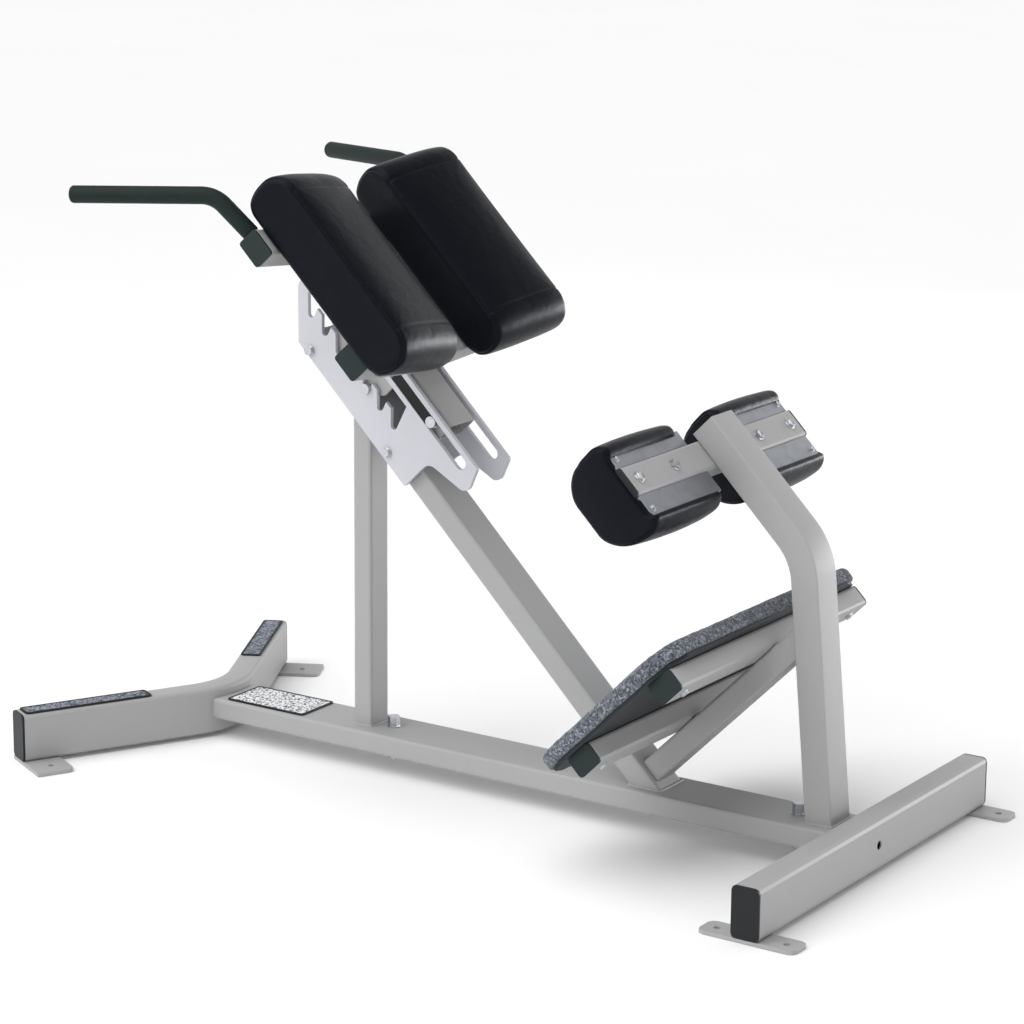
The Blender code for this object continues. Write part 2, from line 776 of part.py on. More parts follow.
def foot_platform(base):
    platform = empty("platform_frame", base, (-PLATFORM_X, 0, PLATFORM_Z), (0, -PLATFORM_ANGLE, 0))
    under = -FOOT_TUBE_H / 2
    tube = straight_tube(BRACE_W, BRACE_H, BRACE_R, FRAME_WALL, INCLINE_X, "YZ")
    place = (-FOOT_TUBE_PITCH / 2, 0, under - GAP - BRACE_H / 2)
    brace = node("platform_brace", tube, "frame_paint", platform, place)
    cut(brace, diagonal_side(base), post_side(base))
    tube_half = FOOT_TUBE_HALF - CAP_T - GAP
    shape = (FOOT_TUBE_W, FOOT_TUBE_H, FOOT_TUBE_R, FRAME_WALL)
    rows = (("upper", 0), ("lower", -FOOT_TUBE_PITCH))
    for row_name, row in rows:
        tube = straight_tube(*shape, 2 * tube_half, "XZ")
        node(f"foot_tube_{row_name}", tube, "frame_paint", platform, (row, 0, 0))
        for name, side in SIDES:
            place = Matrix.Translation((row, side * (tube_half + GAP), 0)) @ facing(side)
            cap(f"foot_cap_{row_name}_{name}", "cap_plastic", platform, *shape, place)
    board_n = FOOT_TUBE_H / 2 + GAP
    limits = ((-TREAD_LOW, TREAD_HIGH), (-TREAD_HALF, TREAD_HALF))
    inner = tuple((low + BOARD_INSET, high - BOARD_INSET) for low, high in limits)
    board = prism([band(*inner, TREAD_CORNER - BOARD_INSET)], BOARD_T)
    node("foot_board", board, "board_wood", platform, (0, 0, board_n + BOARD_T / 2))
    tread_n = board_n + BOARD_T + GAP + TREAD_T / 2
    tread = prism([band(*limits, TREAD_CORNER)], TREAD_T)
    tread = node("foot_tread", tread, "carpet", platform, (0, 0, tread_n))
    soften(tread, TREAD_R)


def diagonal_side(base):
    """Solid of everything below the diagonal's top face."""
    face = incline_point(0, DIAGONAL_TOP_V)
    shape = box((-BEYOND, BEYOND), (-BRACE_W, BRACE_W), (-BEYOND, GAP))
    return tool("brace_lower_cut", shape, base, (face.x, 0, face.y), (0, INCLINE_ANGLE, 0))


def post_side(base):
    """Solid of everything behind the rear post's front face."""
    shape = box((-GAP, BEYOND), (-BRACE_W, BRACE_W), (-BEYOND, BEYOND))
    place = (-POST_X, 0, RAIL_TOP_Z)
    return tool("brace_upper_cut", shape, base, place, (0, -POST_LEAN, 0))


# Head plates


def plate_outline():
    left = -PLATE_LEFT_X
    low_left = crossing(on_incline(left, 0), upward(), Vector((0, PLATE_BOTTOM_V)), Vector((1, 0)))
    high_left = on_incline(left, PLATE_TOP_Z)
    level = on_incline(1, 0) - on_incline(0, 0)
    crest = crossing(high_left, level, Vector((0, PLATE_TOP_V)), Vector((1, 0)))
    return rounded(
        (
            (*low_left, PLATE_EDGE_R),
            (PLATE_RIGHT_U, PLATE_BOTTOM_V, PLATE_EDGE_R),
            (PLATE_RIGHT_U, PLATE_ARCH_V, PLATE_ARCH_R),
            (*PLATE_NOSE, PLATE_NOSE_R),
            (PLATE_NOSE_TOP_U, PLATE_TOP_V, PLATE_EDGE_R),
            (*crest, PLATE_EDGE_R),
            (*high_left, PLATE_CORNER_R),
        ),
        step=FINE_STEP,
    )


def upward():
    """World up, as U and V."""
    return on_incline(0, 1) - on_incline(0, 0)


def window_outline():
    """Window between slot and bottom edge; its lower side is a row of notches for the lock pin."""
    rise = upward()
    across = on_incline(1, 0) - on_incline(0, 0)
    lean = math.sin(NOTCH_LEAN) * across + math.cos(NOTCH_LEAN) * rise
    lean_side = math.cos(NOTCH_LEAN) * across - math.sin(NOTCH_LEAN) * rise
    tip_v = NOTCH_V + NOTCH_TIP_V
    flat = Vector((1, 0))
    points = []
    for number in range(NOTCH_COUNT):
        centre = Vector((NOTCH_FIRST_U + number * NOTCH_PITCH, NOTCH_V))
        wall = centre - NOTCH_R * across
        if number:
            points.append(crossing(wall, rise, Vector((0, tip_v)), flat))
        sweep = math.pi - NOTCH_LEAN
        for step in range(NOTCH_FACETS + 1):
            turn = math.pi + sweep * step / NOTCH_FACETS
            points.append(centre + NOTCH_R * (math.cos(turn) * across + math.sin(turn) * rise))
        far_wall = centre + NOTCH_R * lean_side
        top = tip_v if number < NOTCH_COUNT - 1 else WINDOW_TOP_V
        points.append(crossing(far_wall, lean, Vector((0, top)), flat))
    first_wall = Vector((NOTCH_FIRST_U, NOTCH_V)) - NOTCH_R * across
    ceiling = on_incline(0, WINDOW_TOP_Z)
    points.append(crossing(ceiling, across, Vector((0, WINDOW_TOP_V)), flat))
    points.append(crossing(first_wall, rise, ceiling, across))
    return points


def head(incline, diagonal):
    slot = rounded(
        (
            (SLOT_START_U, SLOT_V - SLOT_W / 2, SLOT_W / 2 - MERGE),
            (SLOT_END_U, SLOT_V - SLOT_W / 2, SLOT_W / 2 - MERGE),
            (SLOT_END_U, SLOT_V + SLOT_W / 2, SLOT_W / 2 - MERGE),
            (SLOT_START_U, SLOT_V + SLOT_W / 2, SLOT_W / 2 - MERGE),
        ),
        step=FINE_STEP,
    )
    loops = (plate_outline(), slot, window_outline())
    plate_y = PLATE_INNER_Y + PLATE_T / 2
    pieces = [diagonal]
    spacer_t = SIDE_GAP_Y - GAP
    for name, side in SIDES:
        plate = prism(loops, PLATE_T, "XZ")
        place = (0, side * plate_y, 0)
        pieces.append(node(f"head_plate_{name}", plate, "plate_paint", incline, place))
        spacer = prism([band(SPACER_U, SPACER_V, SPACER_R)], 2 * spacer_t, "XZ")
        place = (0, side * DIAGONAL_W / 2, 0)
        fuse(diagonal, tool(f"head_spacer_{name}", spacer, incline, place))
    outward = Matrix.Rotation(math.pi / 2, 4, "X")
    places = [Matrix.Translation((u, -PLATE_OUTER_Y, v)) @ outward for u, v in HEAD_BOLT_PLACES]
    grip = 2 * PLATE_OUTER_Y
    for name, place in zip(("upper", "lower"), places):
        bolt(f"head_bolt_{name}", incline, place, HEAD_BOLT_R, grip)
    drill(pieces, "head_bolt_holes", incline, places, HEAD_BOLT_R, -2 * grip, grip)


# Leg pads


def leg_pad_shape(point):
    """Cage of a leg pad: flat back, narrower round front, fuller at mid length than at its ends."""
    depth = 0.5 - point.z / LEG_PAD_DEPTH
    narrow = 1 - LEG_PAD_NARROWING[math.copysign(1, point.x)] * depth**2
    half_y = (LEG_PAD_Y[1] - LEG_PAD_Y[0]) / 2
    half_x = (LEG_PAD_U[1] - LEG_PAD_U[0]) / 2
    fullness = 1 - (point.y / half_y) ** 2
    swell = 1 + LEG_PAD_BULGE * fullness
    front = 1 + LEG_PAD_CROWN * fullness if point.z < 0 else 1
    end = 1 + LEG_PAD_END_CROWN / half_y * (1 - (point.x / half_x) ** 2)
    return Vector((point.x * narrow * swell, point.y * end, point.z * front))


def cushion(size, cuts, shape, seam):
    """Cage of a cushion: a box cut into cells and shaped; edges that seam() picks stay tight."""
    body = bmesh.new()
    bmesh.ops.create_cube(body, size=1)
    bmesh.ops.scale(body, vec=size, verts=body.verts)
    for axis, places in enumerate(cuts):
        normal = Vector([float(axis == index) for index in range(3)])
        for place in places:
            everything = [*body.verts, *body.edges, *body.faces]
            bmesh.ops.bisect_plane(body, geom=everything, plane_co=normal * place, plane_no=normal)
    creases = body.edges.layers.float.new("crease_edge")
    for edge in body.edges:
        edge[creases] = seam(*(vert.co.copy() for vert in edge.verts))
    for vert in body.verts:
        vert.co = shape(vert.co)
    mesh = bpy.data.meshes.new("cushion")
    body.to_mesh(mesh)
    body.free()
    return mesh


def both_at(first, second, axis, value):
    return abs(first[axis] - value) < MERGE and abs(second[axis] - value) < MERGE


def leg_seam(first, second):
    """Tight edges round the ends and along the back of a leg pad."""
    half_y = (LEG_PAD_Y[1] - LEG_PAD_Y[0]) / 2
    half_x = (LEG_PAD_U[1] - LEG_PAD_U[0]) / 2
    back = LEG_PAD_DEPTH / 2
    at_end = any(both_at(first, second, 1, end) for end in (-half_y, half_y))
    at_side = any(both_at(first, second, 0, side) for side in (-half_x, half_x))
    at_back = both_at(first, second, 2, back)
    at_front = both_at(first, second, 2, -back)
    if at_back and (at_end or at_side):
        return 1.0
    if at_end and (at_side or at_front):
        return 0.1
    return 0.0


def smooth(piece, levels=2):
    subdivision = piece.modifiers.new("form", "SUBSURF")
    subdivision.levels = levels
    subdivision.render_levels = levels


def leg_pads(incline):
    bar_v = LEG_BAR_TOP_V - LEG_BAR_H / 2
    tube_half = LEG_BAR_HALF - CAP_T - GAP
    shape = (LEG_BAR_W, LEG_BAR_H, LEG_BAR_R, FRAME_WALL)
    tube = straight_tube(*shape, 2 * tube_half, "XZ")
    node("leg_pad_bar", tube, "carriage_paint", incline, (LEG_BAR_U, 0, bar_v))
    for name, side in SIDES:
        place = Matrix.Translation((LEG_BAR_U, side * (tube_half + GAP), bar_v)) @ facing(side)
        cap(f"leg_bar_cap_{name}", "base_cap_plastic", incline, *shape, place)

    back_v = LEG_BAR_TOP_V - LEG_PAD_BACK
    flange_top = LEG_BAR_TOP_V - FLANGE_RISE
    flange_v = (flange_top - FLANGE_T, flange_top)
    outer_half = LEG_BAR_W / 2 + GAP + BRACKET_WALL
    floor_v = LEG_BAR_TOP_V - LEG_BAR_H - GAP
    channel_u = (LEG_BAR_U - outer_half, LEG_BAR_U + outer_half)
    inner_u = (LEG_BAR_U - LEG_BAR_W / 2 - GAP, LEG_BAR_U + LEG_BAR_W / 2 + GAP)
    hat = (
        (BRACKET_U[0], flange_v[0], 0),
        (channel_u[0], flange_v[0], 0),
        (channel_u[0], floor_v - BRACKET_WALL, 0),
        (channel_u[1], floor_v - BRACKET_WALL, 0),
        (channel_u[1], flange_v[0], 0),
        (BRACKET_U[1], flange_v[0], 0),
        (BRACKET_U[1], flange_v[1], 0),
        (inner_u[1], flange_v[1], 0),
        (inner_u[1], floor_v, 0),
        (inner_u[0], floor_v, 0),
        (inner_u[0], flange_v[1], 0),
        (BRACKET_U[0], flange_v[1], 0),
    )
    length = BRACKET_Y[1] - BRACKET_Y[0]
    bracket_y = sum(BRACKET_Y) / 2
    pad_size = (LEG_PAD_U[1] - LEG_PAD_U[0], LEG_PAD_Y[1] - LEG_PAD_Y[0], LEG_PAD_DEPTH)
    end_cut = pad_size[1] / 2 - LEG_PAD_END_CELL
    cuts = (
        (-pad_size[0] / 6, pad_size[0] / 6),
        (-end_cut, 0, end_cut),
        (-pad_size[2] / 6, pad_size[2] / 6),
    )
    for name, side in SIDES:
        bracket = prism([rounded(hat)], length, "XZ")
        place = (0, side * bracket_y, 0)
        node(f"leg_pad_bracket_{name}", bracket, "bracket_steel", incline, place)
        cage = cushion(pad_size, cuts, leg_pad_shape, leg_seam)
        place = (sum(LEG_PAD_U) / 2, side * sum(LEG_PAD_Y) / 2, back_v - LEG_PAD_DEPTH / 2)
        pad = node(f"leg_pad_{name}", cage, "pad_vinyl", incline, place)
        smooth(pad)
        across = sorted((side * (BRACKET_Y[0] - GAP), side * (BRACKET_Y[1] + GAP)))
        everywhere = (-LEG_BAR_HALF * 2, LEG_BAR_HALF * 2)
        wide = (BRACKET_U[0] - GAP, BRACKET_U[1] + GAP)
        narrow = (channel_u[0] - GAP, channel_u[1] + GAP)
        above = flange_top + LEG_BAR_H
        seat = box(wide, across, (flange_v[0] - GAP, above))
        groove = box(narrow, everywhere, (floor_v - BRACKET_WALL - GAP, above))
        cut(pad, tool(f"leg_pad_seat_{name}", seat, incline))
        cut(pad, tool(f"leg_pad_groove_{name}", groove, incline))


# Slider: guide bolt, washers and blocks


def slider(pivot):
    sideways = Matrix.Rotation(math.pi / 2, 4, "X")
    neck_end = PLATE_OUTER_Y - STUB_T / 2
    shaft = bars(PIVOT_R, -neck_end, neck_end, [sideways])
    guide_bolt = node("guide_bolt", shaft, "chrome", pivot)
    ends = [sideways @ Matrix.Rotation(turn, 4, "X") for turn in (0, math.pi)]
    stubs = bars(STUB_R, PLATE_OUTER_Y - STUB_T, PLATE_OUTER_Y, ends)
    block_y = (PLATE_INNER_Y - BLOCK_PROUD, PLATE_INNER_Y - BLOCK_PROUD + BLOCK_T)
    collars = bars(COLLAR_R, CARRIAGE_W / 2 + GAP, block_y[0] - GAP, ends)
    fuse(guide_bolt, tool("guide_bolt_stubs", stubs, pivot), tool("guide_bolt_collars", collars, pivot))

    half = SLOT_W / 2 - SLIDE_FIT
    outline = rounded(
        (
            (BLOCK_U - PIVOT_U, -half, BLOCK_R),
            (half, -half, half - MERGE),
            (half, half, half - MERGE),
            (BLOCK_U - PIVOT_U, half, BLOCK_R),
        )
    )
    for name, side in SIDES:
        block = prism((outline, circle(PIVOT_R + BORE_FIT)), BLOCK_T, "XZ")
        place = (0, side * sum(block_y) / 2, 0)
        block = node(f"slide_block_{name}", block, "block_plastic", pivot, place)
        end = ends[0] if side == NEAR else ends[1]
        recess = bars(half + RECESS_FIT, block_y[0] + BLOCK_TAB_T, 2 * block_y[1], [end])
        cut(block, tool(f"slide_block_recess_{name}", recess, pivot))


# Carriage


def on_carriage(u, y, v):
    """Place on the incline, measured from the guide bolt."""
    return (u - PIVOT_U, y, v - PIVOT_V)


def carriage_body(pivot):
    length = CARRIAGE_U[1] - CARRIAGE_U[0]
    tube = straight_tube(CARRIAGE_W, CARRIAGE_H, CARRIAGE_R, CARRIAGE_WALL, length, "YZ")
    place = on_carriage(sum(CARRIAGE_U) / 2, 0, CARRIAGE_BOTTOM_V + CARRIAGE_H / 2)
    tube = node("carriage_tube", tube, "carriage_paint", pivot, place)
    sideways = Matrix.Rotation(math.pi / 2, 4, "X")
    drill([tube], "carriage_bolt_hole", pivot, [sideways], PIVOT_R, -CARRIAGE_W, CARRIAGE_W)

    rise = upward()
    left = on_incline(-PIN_PLATE_LEFT_X, INCLINE_Z)
    flat = Vector((1, 0))
    low_left = crossing(left, rise, Vector((0, PIN_PLATE_BOTTOM_V)), flat)
    high_left = crossing(left, rise, Vector((0, PIN_PLATE_TOP_V)), flat)
    outline = rounded(
        (
            (*low_left, PIN_PLATE_R),
            (PIN_PLATE_RIGHT_U - PIN_PLATE_TOE, PIN_PLATE_BOTTOM_V, PIN_PLATE_TOE_R),
            (PIN_PLATE_RIGHT_U, PIN_PLATE_BOTTOM_V + PIN_PLATE_TOE, PIN_PLATE_TOE_R),
            (PIN_PLATE_RIGHT_U, PIN_PLATE_TOP_V, PIN_PLATE_R),
            (*high_left, PIN_PLATE_R),
        )
    )
    pin = Vector((PIN_U, NOTCH_V)) - PIN_DROP * rise
    hole = circle(PIN_R + BORE_FIT, pin)
    plate_y = CARRIAGE_W / 2 + GAP + PIN_PLATE_T / 2
    for name, side in SIDES:
        plate = prism((outline, hole), PIN_PLATE_T, "XZ")
        node(f"pin_bracket_{name}", plate, "carriage_paint", pivot, on_carriage(0, side * plate_y, 0))
    head_y = PLATE_OUTER_Y + 2 * SLIDE_FIT
    pin_place = Matrix.Translation(on_carriage(pin.x, 0, pin.y))
    ends = [pin_place @ sideways @ Matrix.Rotation(turn, 4, "X") for turn in (0, math.pi)]
    shaft_end = head_y + PIN_HEAD_T / 2
    shaft = bars(PIN_R, -shaft_end, shaft_end, ends[:1])
    lock_pin = node("lock_pin", shaft, "chrome", pivot)
    heads = bars(PIN_HEAD_R, head_y, head_y + PIN_HEAD_T, ends)
    fuse(lock_pin, tool("lock_pin_heads", heads, pivot))


def cross_tubes(pivot):
    """Two tubes across the carriage; their arms rise outward and carry the pads."""
    fold = math.tan(CROSS_TILT / 2) * CROSS_H / 2
    crease_y = CROSS_FLAT + fold
    mid_v = CROSS_TOP_V - CROSS_H / 2
    shape = (CROSS_W, CROSS_H, CROSS_R, FRAME_WALL)
    rows = (("lower", LOWER_CROSS_U, LOWER_ARM), ("upper", UPPER_CROSS_U, UPPER_ARM))
    for row_name, u, arm_length in rows:
        run = arm_length - CAP_T - GAP - fold
        end_y = crease_y + run * math.cos(CROSS_TILT)
        end_v = mid_v + run * math.sin(CROSS_TILT)
        rise = end_v - mid_v
        path = [
            Vector(place)
            for place in ((-end_y, rise), (-crease_y, 0), (crease_y, 0), (end_y, rise))
        ]
        solid = swept(path, rectangle(CROSS_H, CROSS_W, CROSS_R), "YZ")
        place = on_carriage(u, 0, mid_v)
        tube = node(f"cross_tube_{row_name}", solid, "carriage_paint", pivot, place)
        bore_r = inner_radius(CROSS_R, FRAME_WALL)
        inner = rectangle(CROSS_H - 2 * FRAME_WALL, CROSS_W - 2 * FRAME_WALL, bore_r)
        bore = swept(lengthened(path, CAP_T), inner, "YZ")
        cut(tube, tool(f"cross_tube_bore_{row_name}", bore, pivot, place))
        for name, side in SIDES:
            local = Matrix.Translation((u - PIVOT_U, side * (arm_length - CAP_T), -CROSS_H / 2))
            place = arm_frame(side) @ local @ facing(side)
            cap(f"cross_cap_{row_name}_{name}", "cap_plastic", pivot, *shape, place)


def arm_frame(side):
    """Frame of a cross tube arm's top face, seen from the guide bolt."""
    crease = Matrix.Translation((0, side * CROSS_FLAT, CROSS_TOP_V - PIVOT_V))
    return crease @ Matrix.Rotation(side * CROSS_TILT, 4, "X")


def handles(pivot):
    """Bent handles from the upper cross tube, each with a closed rubber grip."""
    start_u = UPPER_CROSS_U - CROSS_W / 2
    arm_v = CROSS_TOP_V + (HANDLE_START_Y - CROSS_FLAT) * math.tan(CROSS_TILT)
    start_v = arm_v - CROSS_H / 2 / math.cos(CROSS_TILT)
    for name, side in SIDES:
        root = Vector(on_carriage(start_u - GAP, side * HANDLE_START_Y, start_v))
        knee = Vector(on_carriage(HANDLE_KNEE[0], side * HANDLE_KNEE[1], HANDLE_KNEE[2]))
        tip = Vector(on_carriage(HANDLE_TIP[0], side * HANDLE_TIP[1], HANDLE_TIP[2]))
        corners = ((*root, 0), (*knee, HANDLE_BEND), (*tip, 0))
        path = rounded(corners, closed=False, step=BEND_STEP)
        outward = (path[-1] - path[-2]).normalized()
        tube_path = [*path[:-1], tip - outward * (GRIP_END_T + GAP)]
        tube = round_tube(tube_path, [HANDLE_R] * len(path))
        tube = node(f"handle_tube_{name}", tube, "carriage_paint", pivot)
        bore = round_tube(lengthened(tube_path, CAP_T), [HANDLE_R - HANDLE_WALL] * len(path))
        cut(tube, tool(f"handle_bore_{name}", bore, pivot))
        everywhere = (-BEYOND, BEYOND)
        face = box((start_u - PIVOT_U - GAP, BEYOND), everywhere, everywhere)
        cut(tube, tool(f"handle_root_cut_{name}", face, pivot))
        inward = (path[1] - path[0]).normalized()
        sleeve_path = [path[0] + inward * GRIP_START, *path[1:-1]]
        radii = [GRIP_R] * len(sleeve_path)
        for back, share in GRIP_NOSE:
            sleeve_path.append(tip - outward * back)
            radii.append(GRIP_R * share)
        grip = round_tube(sleeve_path, radii)
        grip = node(f"handle_grip_{name}", grip, "grip_rubber", pivot)
        socket_path = [path[0] - inward * CAP_T, *path[1:-1], tip - outward * GRIP_END_T]
        socket = round_tube(socket_path, [HANDLE_R + BORE_FIT] * len(path))
        cut(grip, tool(f"handle_socket_{name}", socket, pivot))


# Thigh pads


def thigh_pad_shape(point):
    """Cage of a thigh pad: crowned top, sides drawn in at mid height."""
    half_u = (PAD_U[1] - PAD_U[0]) / 2
    half_s = (PAD_S[1] - PAD_S[0]) / 2
    half_n = pad_height() / 2
    across = point.y / half_s
    along = point.x / half_u
    moved = point.copy()
    if abs(along) > 1 - MERGE:
        moved += end_corner(along, point.z / half_n)
        moved.x += math.copysign(PAD_END_CROWN * (1 - across**2), along)
    if point.z > half_n - MERGE:
        moved.z += PAD_CROWN * (1 - across**2)
    if abs(point.z) < half_n - MERGE and abs(across) > 1 - MERGE:
        moved.y -= math.copysign(PAD_DRAW_IN, across)
    return moved


def end_corner(along, level):
    """How far a corner of the side profile moves in, so that it takes its radius when it is rounded."""
    if abs(level) < 1 - MERGE:
        return Vector()
    cell_u = PAD_LOWER_CELL if along > 0 else PAD_UPPER_CELL
    if level > 0:
        radius = PAD_TOP_R
        cell_n = PAD_TOP_CELL
    else:
        radius = PAD_LOW_R if along > 0 else PAD_HIGH_LOW_R
        cell_n = PAD_BOTTOM_CELL
    cut_off = (1 - math.sqrt(0.5)) * radius
    inward = [1.5 * max(cut_off - cell / 6, 0) for cell in (cell_u, cell_n)]
    return Vector((-math.copysign(inward[0], along), 0, -math.copysign(inward[1], level)))


def pad_height():
    return PAD_TOP_N - PAD_BOARD_T - 2 * GAP


def thigh_seam(first, second):
    """Tight edges where the top panel meets the side panels, and round the bottom."""
    half_s = (PAD_S[1] - PAD_S[0]) / 2
    half_u = (PAD_U[1] - PAD_U[0]) / 2
    half_n = pad_height() / 2
    at_side = any(both_at(first, second, 1, side) for side in (-half_s, half_s))
    at_end = any(both_at(first, second, 0, end) for end in (-half_u, half_u))
    at_bottom = both_at(first, second, 2, -half_n)
    at_top = both_at(first, second, 2, half_n)
    if at_side and (at_top or at_end):
        return 0.8
    if at_bottom and (at_side or at_end):
        return 0.35
    return 0.0


def thigh_pads(pivot):
    pad_size = (PAD_U[1] - PAD_U[0], PAD_S[1] - PAD_S[0], pad_height())
    half_u = pad_size[0] / 2
    half_n = pad_size[2] / 2
    cuts = (
        (-half_u + PAD_UPPER_CELL, 0, half_u - PAD_LOWER_CELL),
        (-pad_size[1] / 4, 0, pad_size[1] / 4),
        (-half_n + PAD_BOTTOM_CELL, half_n - PAD_TOP_CELL),
    )
    mid_u = sum(PAD_U) / 2 - PIVOT_U
    mid_s = sum(PAD_S) / 2
    for name, side in SIDES:
        frame = empty(
            f"arm_frame_{name}",
            pivot,
            (0, side * CROSS_FLAT, CROSS_TOP_V - PIVOT_V),
            (side * CROSS_TILT, 0, 0),
        )
        inset = 2 * PAD_BOARD_INSET
        outline = rectangle(pad_size[0] - inset, pad_size[1] - inset, PAD_BOARD_R)
        board = prism([outline], PAD_BOARD_T)
        place = (mid_u, side * mid_s, GAP + PAD_BOARD_T / 2)
        node(f"pad_board_{name}", board, "board_wood", frame, place)
        cage = cushion(pad_size, cuts, thigh_pad_shape, thigh_seam)
        place = (mid_u, side * mid_s, PAD_BOARD_T + 2 * GAP + pad_size[2] / 2)
        smooth(node(f"thigh_pad_{name}", cage, "pad_vinyl", frame, place))


def main():
    clear_scene()
    new_collection("hyperextension_bench")
    new_collection("cutters")
    base = empty("base", None, (DATUM_X, 0, 0))
    incline = empty("incline_frame", base, (-INCLINE_X, 0, INCLINE_Z), (0, INCLINE_ANGLE, 0))
    front_path = front_base(base)
    rear_base(base)
    main_rail(base, front_path)
    diagonal = uprights(base, incline)
    foot_platform(base)
    head(incline, diagonal)
    leg_pads(incline)
    pivot = empty("guide_pivot", incline, (PIVOT_U, 0, PIVOT_V))
    slider(pivot)
    carriage_body(pivot)
    cross_tubes(pivot)
    handles(pivot)
    thigh_pads(pivot)


main()
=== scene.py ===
"""Hyperextension bench: finishes, cushions, carpet, grips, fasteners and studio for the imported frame."""

import math
from functools import partial

import bmesh
import bpy
from mathutils import Matrix, Vector


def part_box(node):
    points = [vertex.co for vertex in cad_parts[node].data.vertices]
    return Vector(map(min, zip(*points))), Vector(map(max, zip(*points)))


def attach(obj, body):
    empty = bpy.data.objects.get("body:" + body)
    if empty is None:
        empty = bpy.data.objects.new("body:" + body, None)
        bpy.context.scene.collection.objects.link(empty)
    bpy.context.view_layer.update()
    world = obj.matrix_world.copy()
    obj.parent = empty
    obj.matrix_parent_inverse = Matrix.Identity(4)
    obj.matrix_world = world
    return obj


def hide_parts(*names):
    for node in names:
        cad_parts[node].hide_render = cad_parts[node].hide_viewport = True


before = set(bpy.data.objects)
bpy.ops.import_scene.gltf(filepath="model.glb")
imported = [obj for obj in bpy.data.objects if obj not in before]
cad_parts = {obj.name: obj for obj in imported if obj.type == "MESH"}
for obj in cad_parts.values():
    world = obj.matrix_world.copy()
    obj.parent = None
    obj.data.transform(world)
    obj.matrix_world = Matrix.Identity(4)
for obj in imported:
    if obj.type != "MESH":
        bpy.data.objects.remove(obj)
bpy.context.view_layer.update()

bl_info = {
    "name": "Hyperextension bench",
    "version": (1, 0, 0),
    "blender": (4, 5, 0),
    "location": "View3D > Sidebar > Bench",
    "description": "Dresses the frame of a 45 degree back bench and sets up its studio",
    "category": "Object",
}

SIDES = (("near", -1), ("far", 1))
# the head's slope, with X down it and Z out of it, and the foot platform's, with X up it and Z out of it
INCLINE = Matrix.Translation((-0.2489364, 0, 0.721)) @ Matrix.Rotation(math.radians(45), 4, "Y")
PLATFORM = Matrix.Translation((0.5352636, 0, 0.3647)) @ Matrix.Rotation(math.radians(-45), 4, "Y")
ARM_TURN = math.radians(27.4)  # how far each arm of the V-shaped base tube is swept to the front
RAIL_TOP = 0.076
NEARLY = 0.0001  # the points of a flat rim or face are this close to its plane
PANEL = 1 - 1e-7  # a cushion's corner lies on a panel past this place; places run from -1 to 1


def linear(srgb):
    """Linear colour of an sRGB hex value."""
    parts = [int(srgb[at : at + 2], 16) / 255 for at in (0, 2, 4)]
    return (*(p / 12.92 if p <= 0.04045 else ((p + 0.055) / 1.055) ** 2.4 for p in parts), 1.0)


def colour(name, description, srgb):
    return bpy.props.FloatVectorProperty(
        name=name, description=description, subtype="COLOR", size=4, min=0, max=1, default=linear(srgb)
    )


def length(name, description, default):
    kind = {"subtype": "DISTANCE", "unit": "LENGTH", "min": 0, "precision": 4}
    return bpy.props.FloatProperty(name=name, description=description, default=default, **kind)


class BenchFinishes(bpy.types.PropertyGroup):
    """Colours of the bench"""

    frame_paint: colour("Frame paint", "Grey powder coat of the fixed frame", "A6A6A6")
    carriage_paint: colour("Carriage paint", "Grey powder coat of the carriage and the pad bar", "A6A6A5")
    plate_paint: colour("Plate paint", "Silver powder coat of the head plates", "C8C9CF")
    end_cap: colour("End cap", "Green-black plastic of the upper end caps", "182626")
    base_cap: colour("Base cap", "Black plastic of the base end caps", "1A1C1F")
    hand_grip: colour("Hand grip", "Green-black rubber of the hand grips", "172421")
    vinyl: colour("Vinyl", "Black vinyl of the cushions", "0A0C12")
    carpet: colour("Carpet", "Blue-grey pile of the foot platform", "747B85")
    steel: colour("Bracket steel", "Brushed steel of the leg pad brackets", "A3A6AB")
    zinc: colour("Zinc", "Zinc plating of bolts and pins", "C9CCD0")
    nylon: colour("Nylon", "Black nylon of the slide blocks", "0C0D0E")
    board: colour("Board", "Black paint of the plywood boards", "22282C")
    strip_rubber: colour("Strip rubber", "Black rubber rim of the anti-slip strips", "202226")
    arm_grit: colour("Arm grit", "Grey grit of the strips on the front arms", "7B828D")
    rail_grit: colour("Rail grit", "White grit of the strip on the rail", "F0F1F2")


class BenchCushions(bpy.types.PropertyGroup):
    """Sizes of the cushions"""

    cell: length("Cell", "Width of one cell of a cushion's cover", 0.0055)
    thigh_edge: length("Thigh pad edge", "Rounding between the top and the side panels", 0.011)
    thigh_crown: length("Thigh pad crown", "Rise of the top before the foam fills it", 0.008)
    thigh_cross_seam: length("Cross seam", "Distance of the cross seam from the pad's end", 0.050)
    leg_edge: length("Leg pad edge", "Rounding between the wrap and the end panels", 0.009)
    seam_depth: length("Seam depth", "How deep a seam is drawn into the foam", 0.0022)
    swell: length("Swell", "How far the foam may push the cover out", 0.0045)


class BenchMetal(bpy.types.PropertyGroup):
    """Sizes of tubes, grips and fasteners"""

    base_bend: length("Base bend", "Bend radius of the front base tube", 0.150)
    post_bend: length("Post bend", "Bend radius of the rear post", 0.120)
    grip_radius: length("Grip radius", "Outer radius of a hand grip", 0.0155)
    grip_bend: length("Grip bend", "Bend radius of a handle", 0.060)
    bolt_radius: length("Bolt head", "Radius of the small bolt heads over their corners", 0.0088)
    bolt_height: length("Bolt head height", "Height of the small bolt heads", 0.0055)
    weld: length("Weld", "Radius of a weld bead", 0.0028)


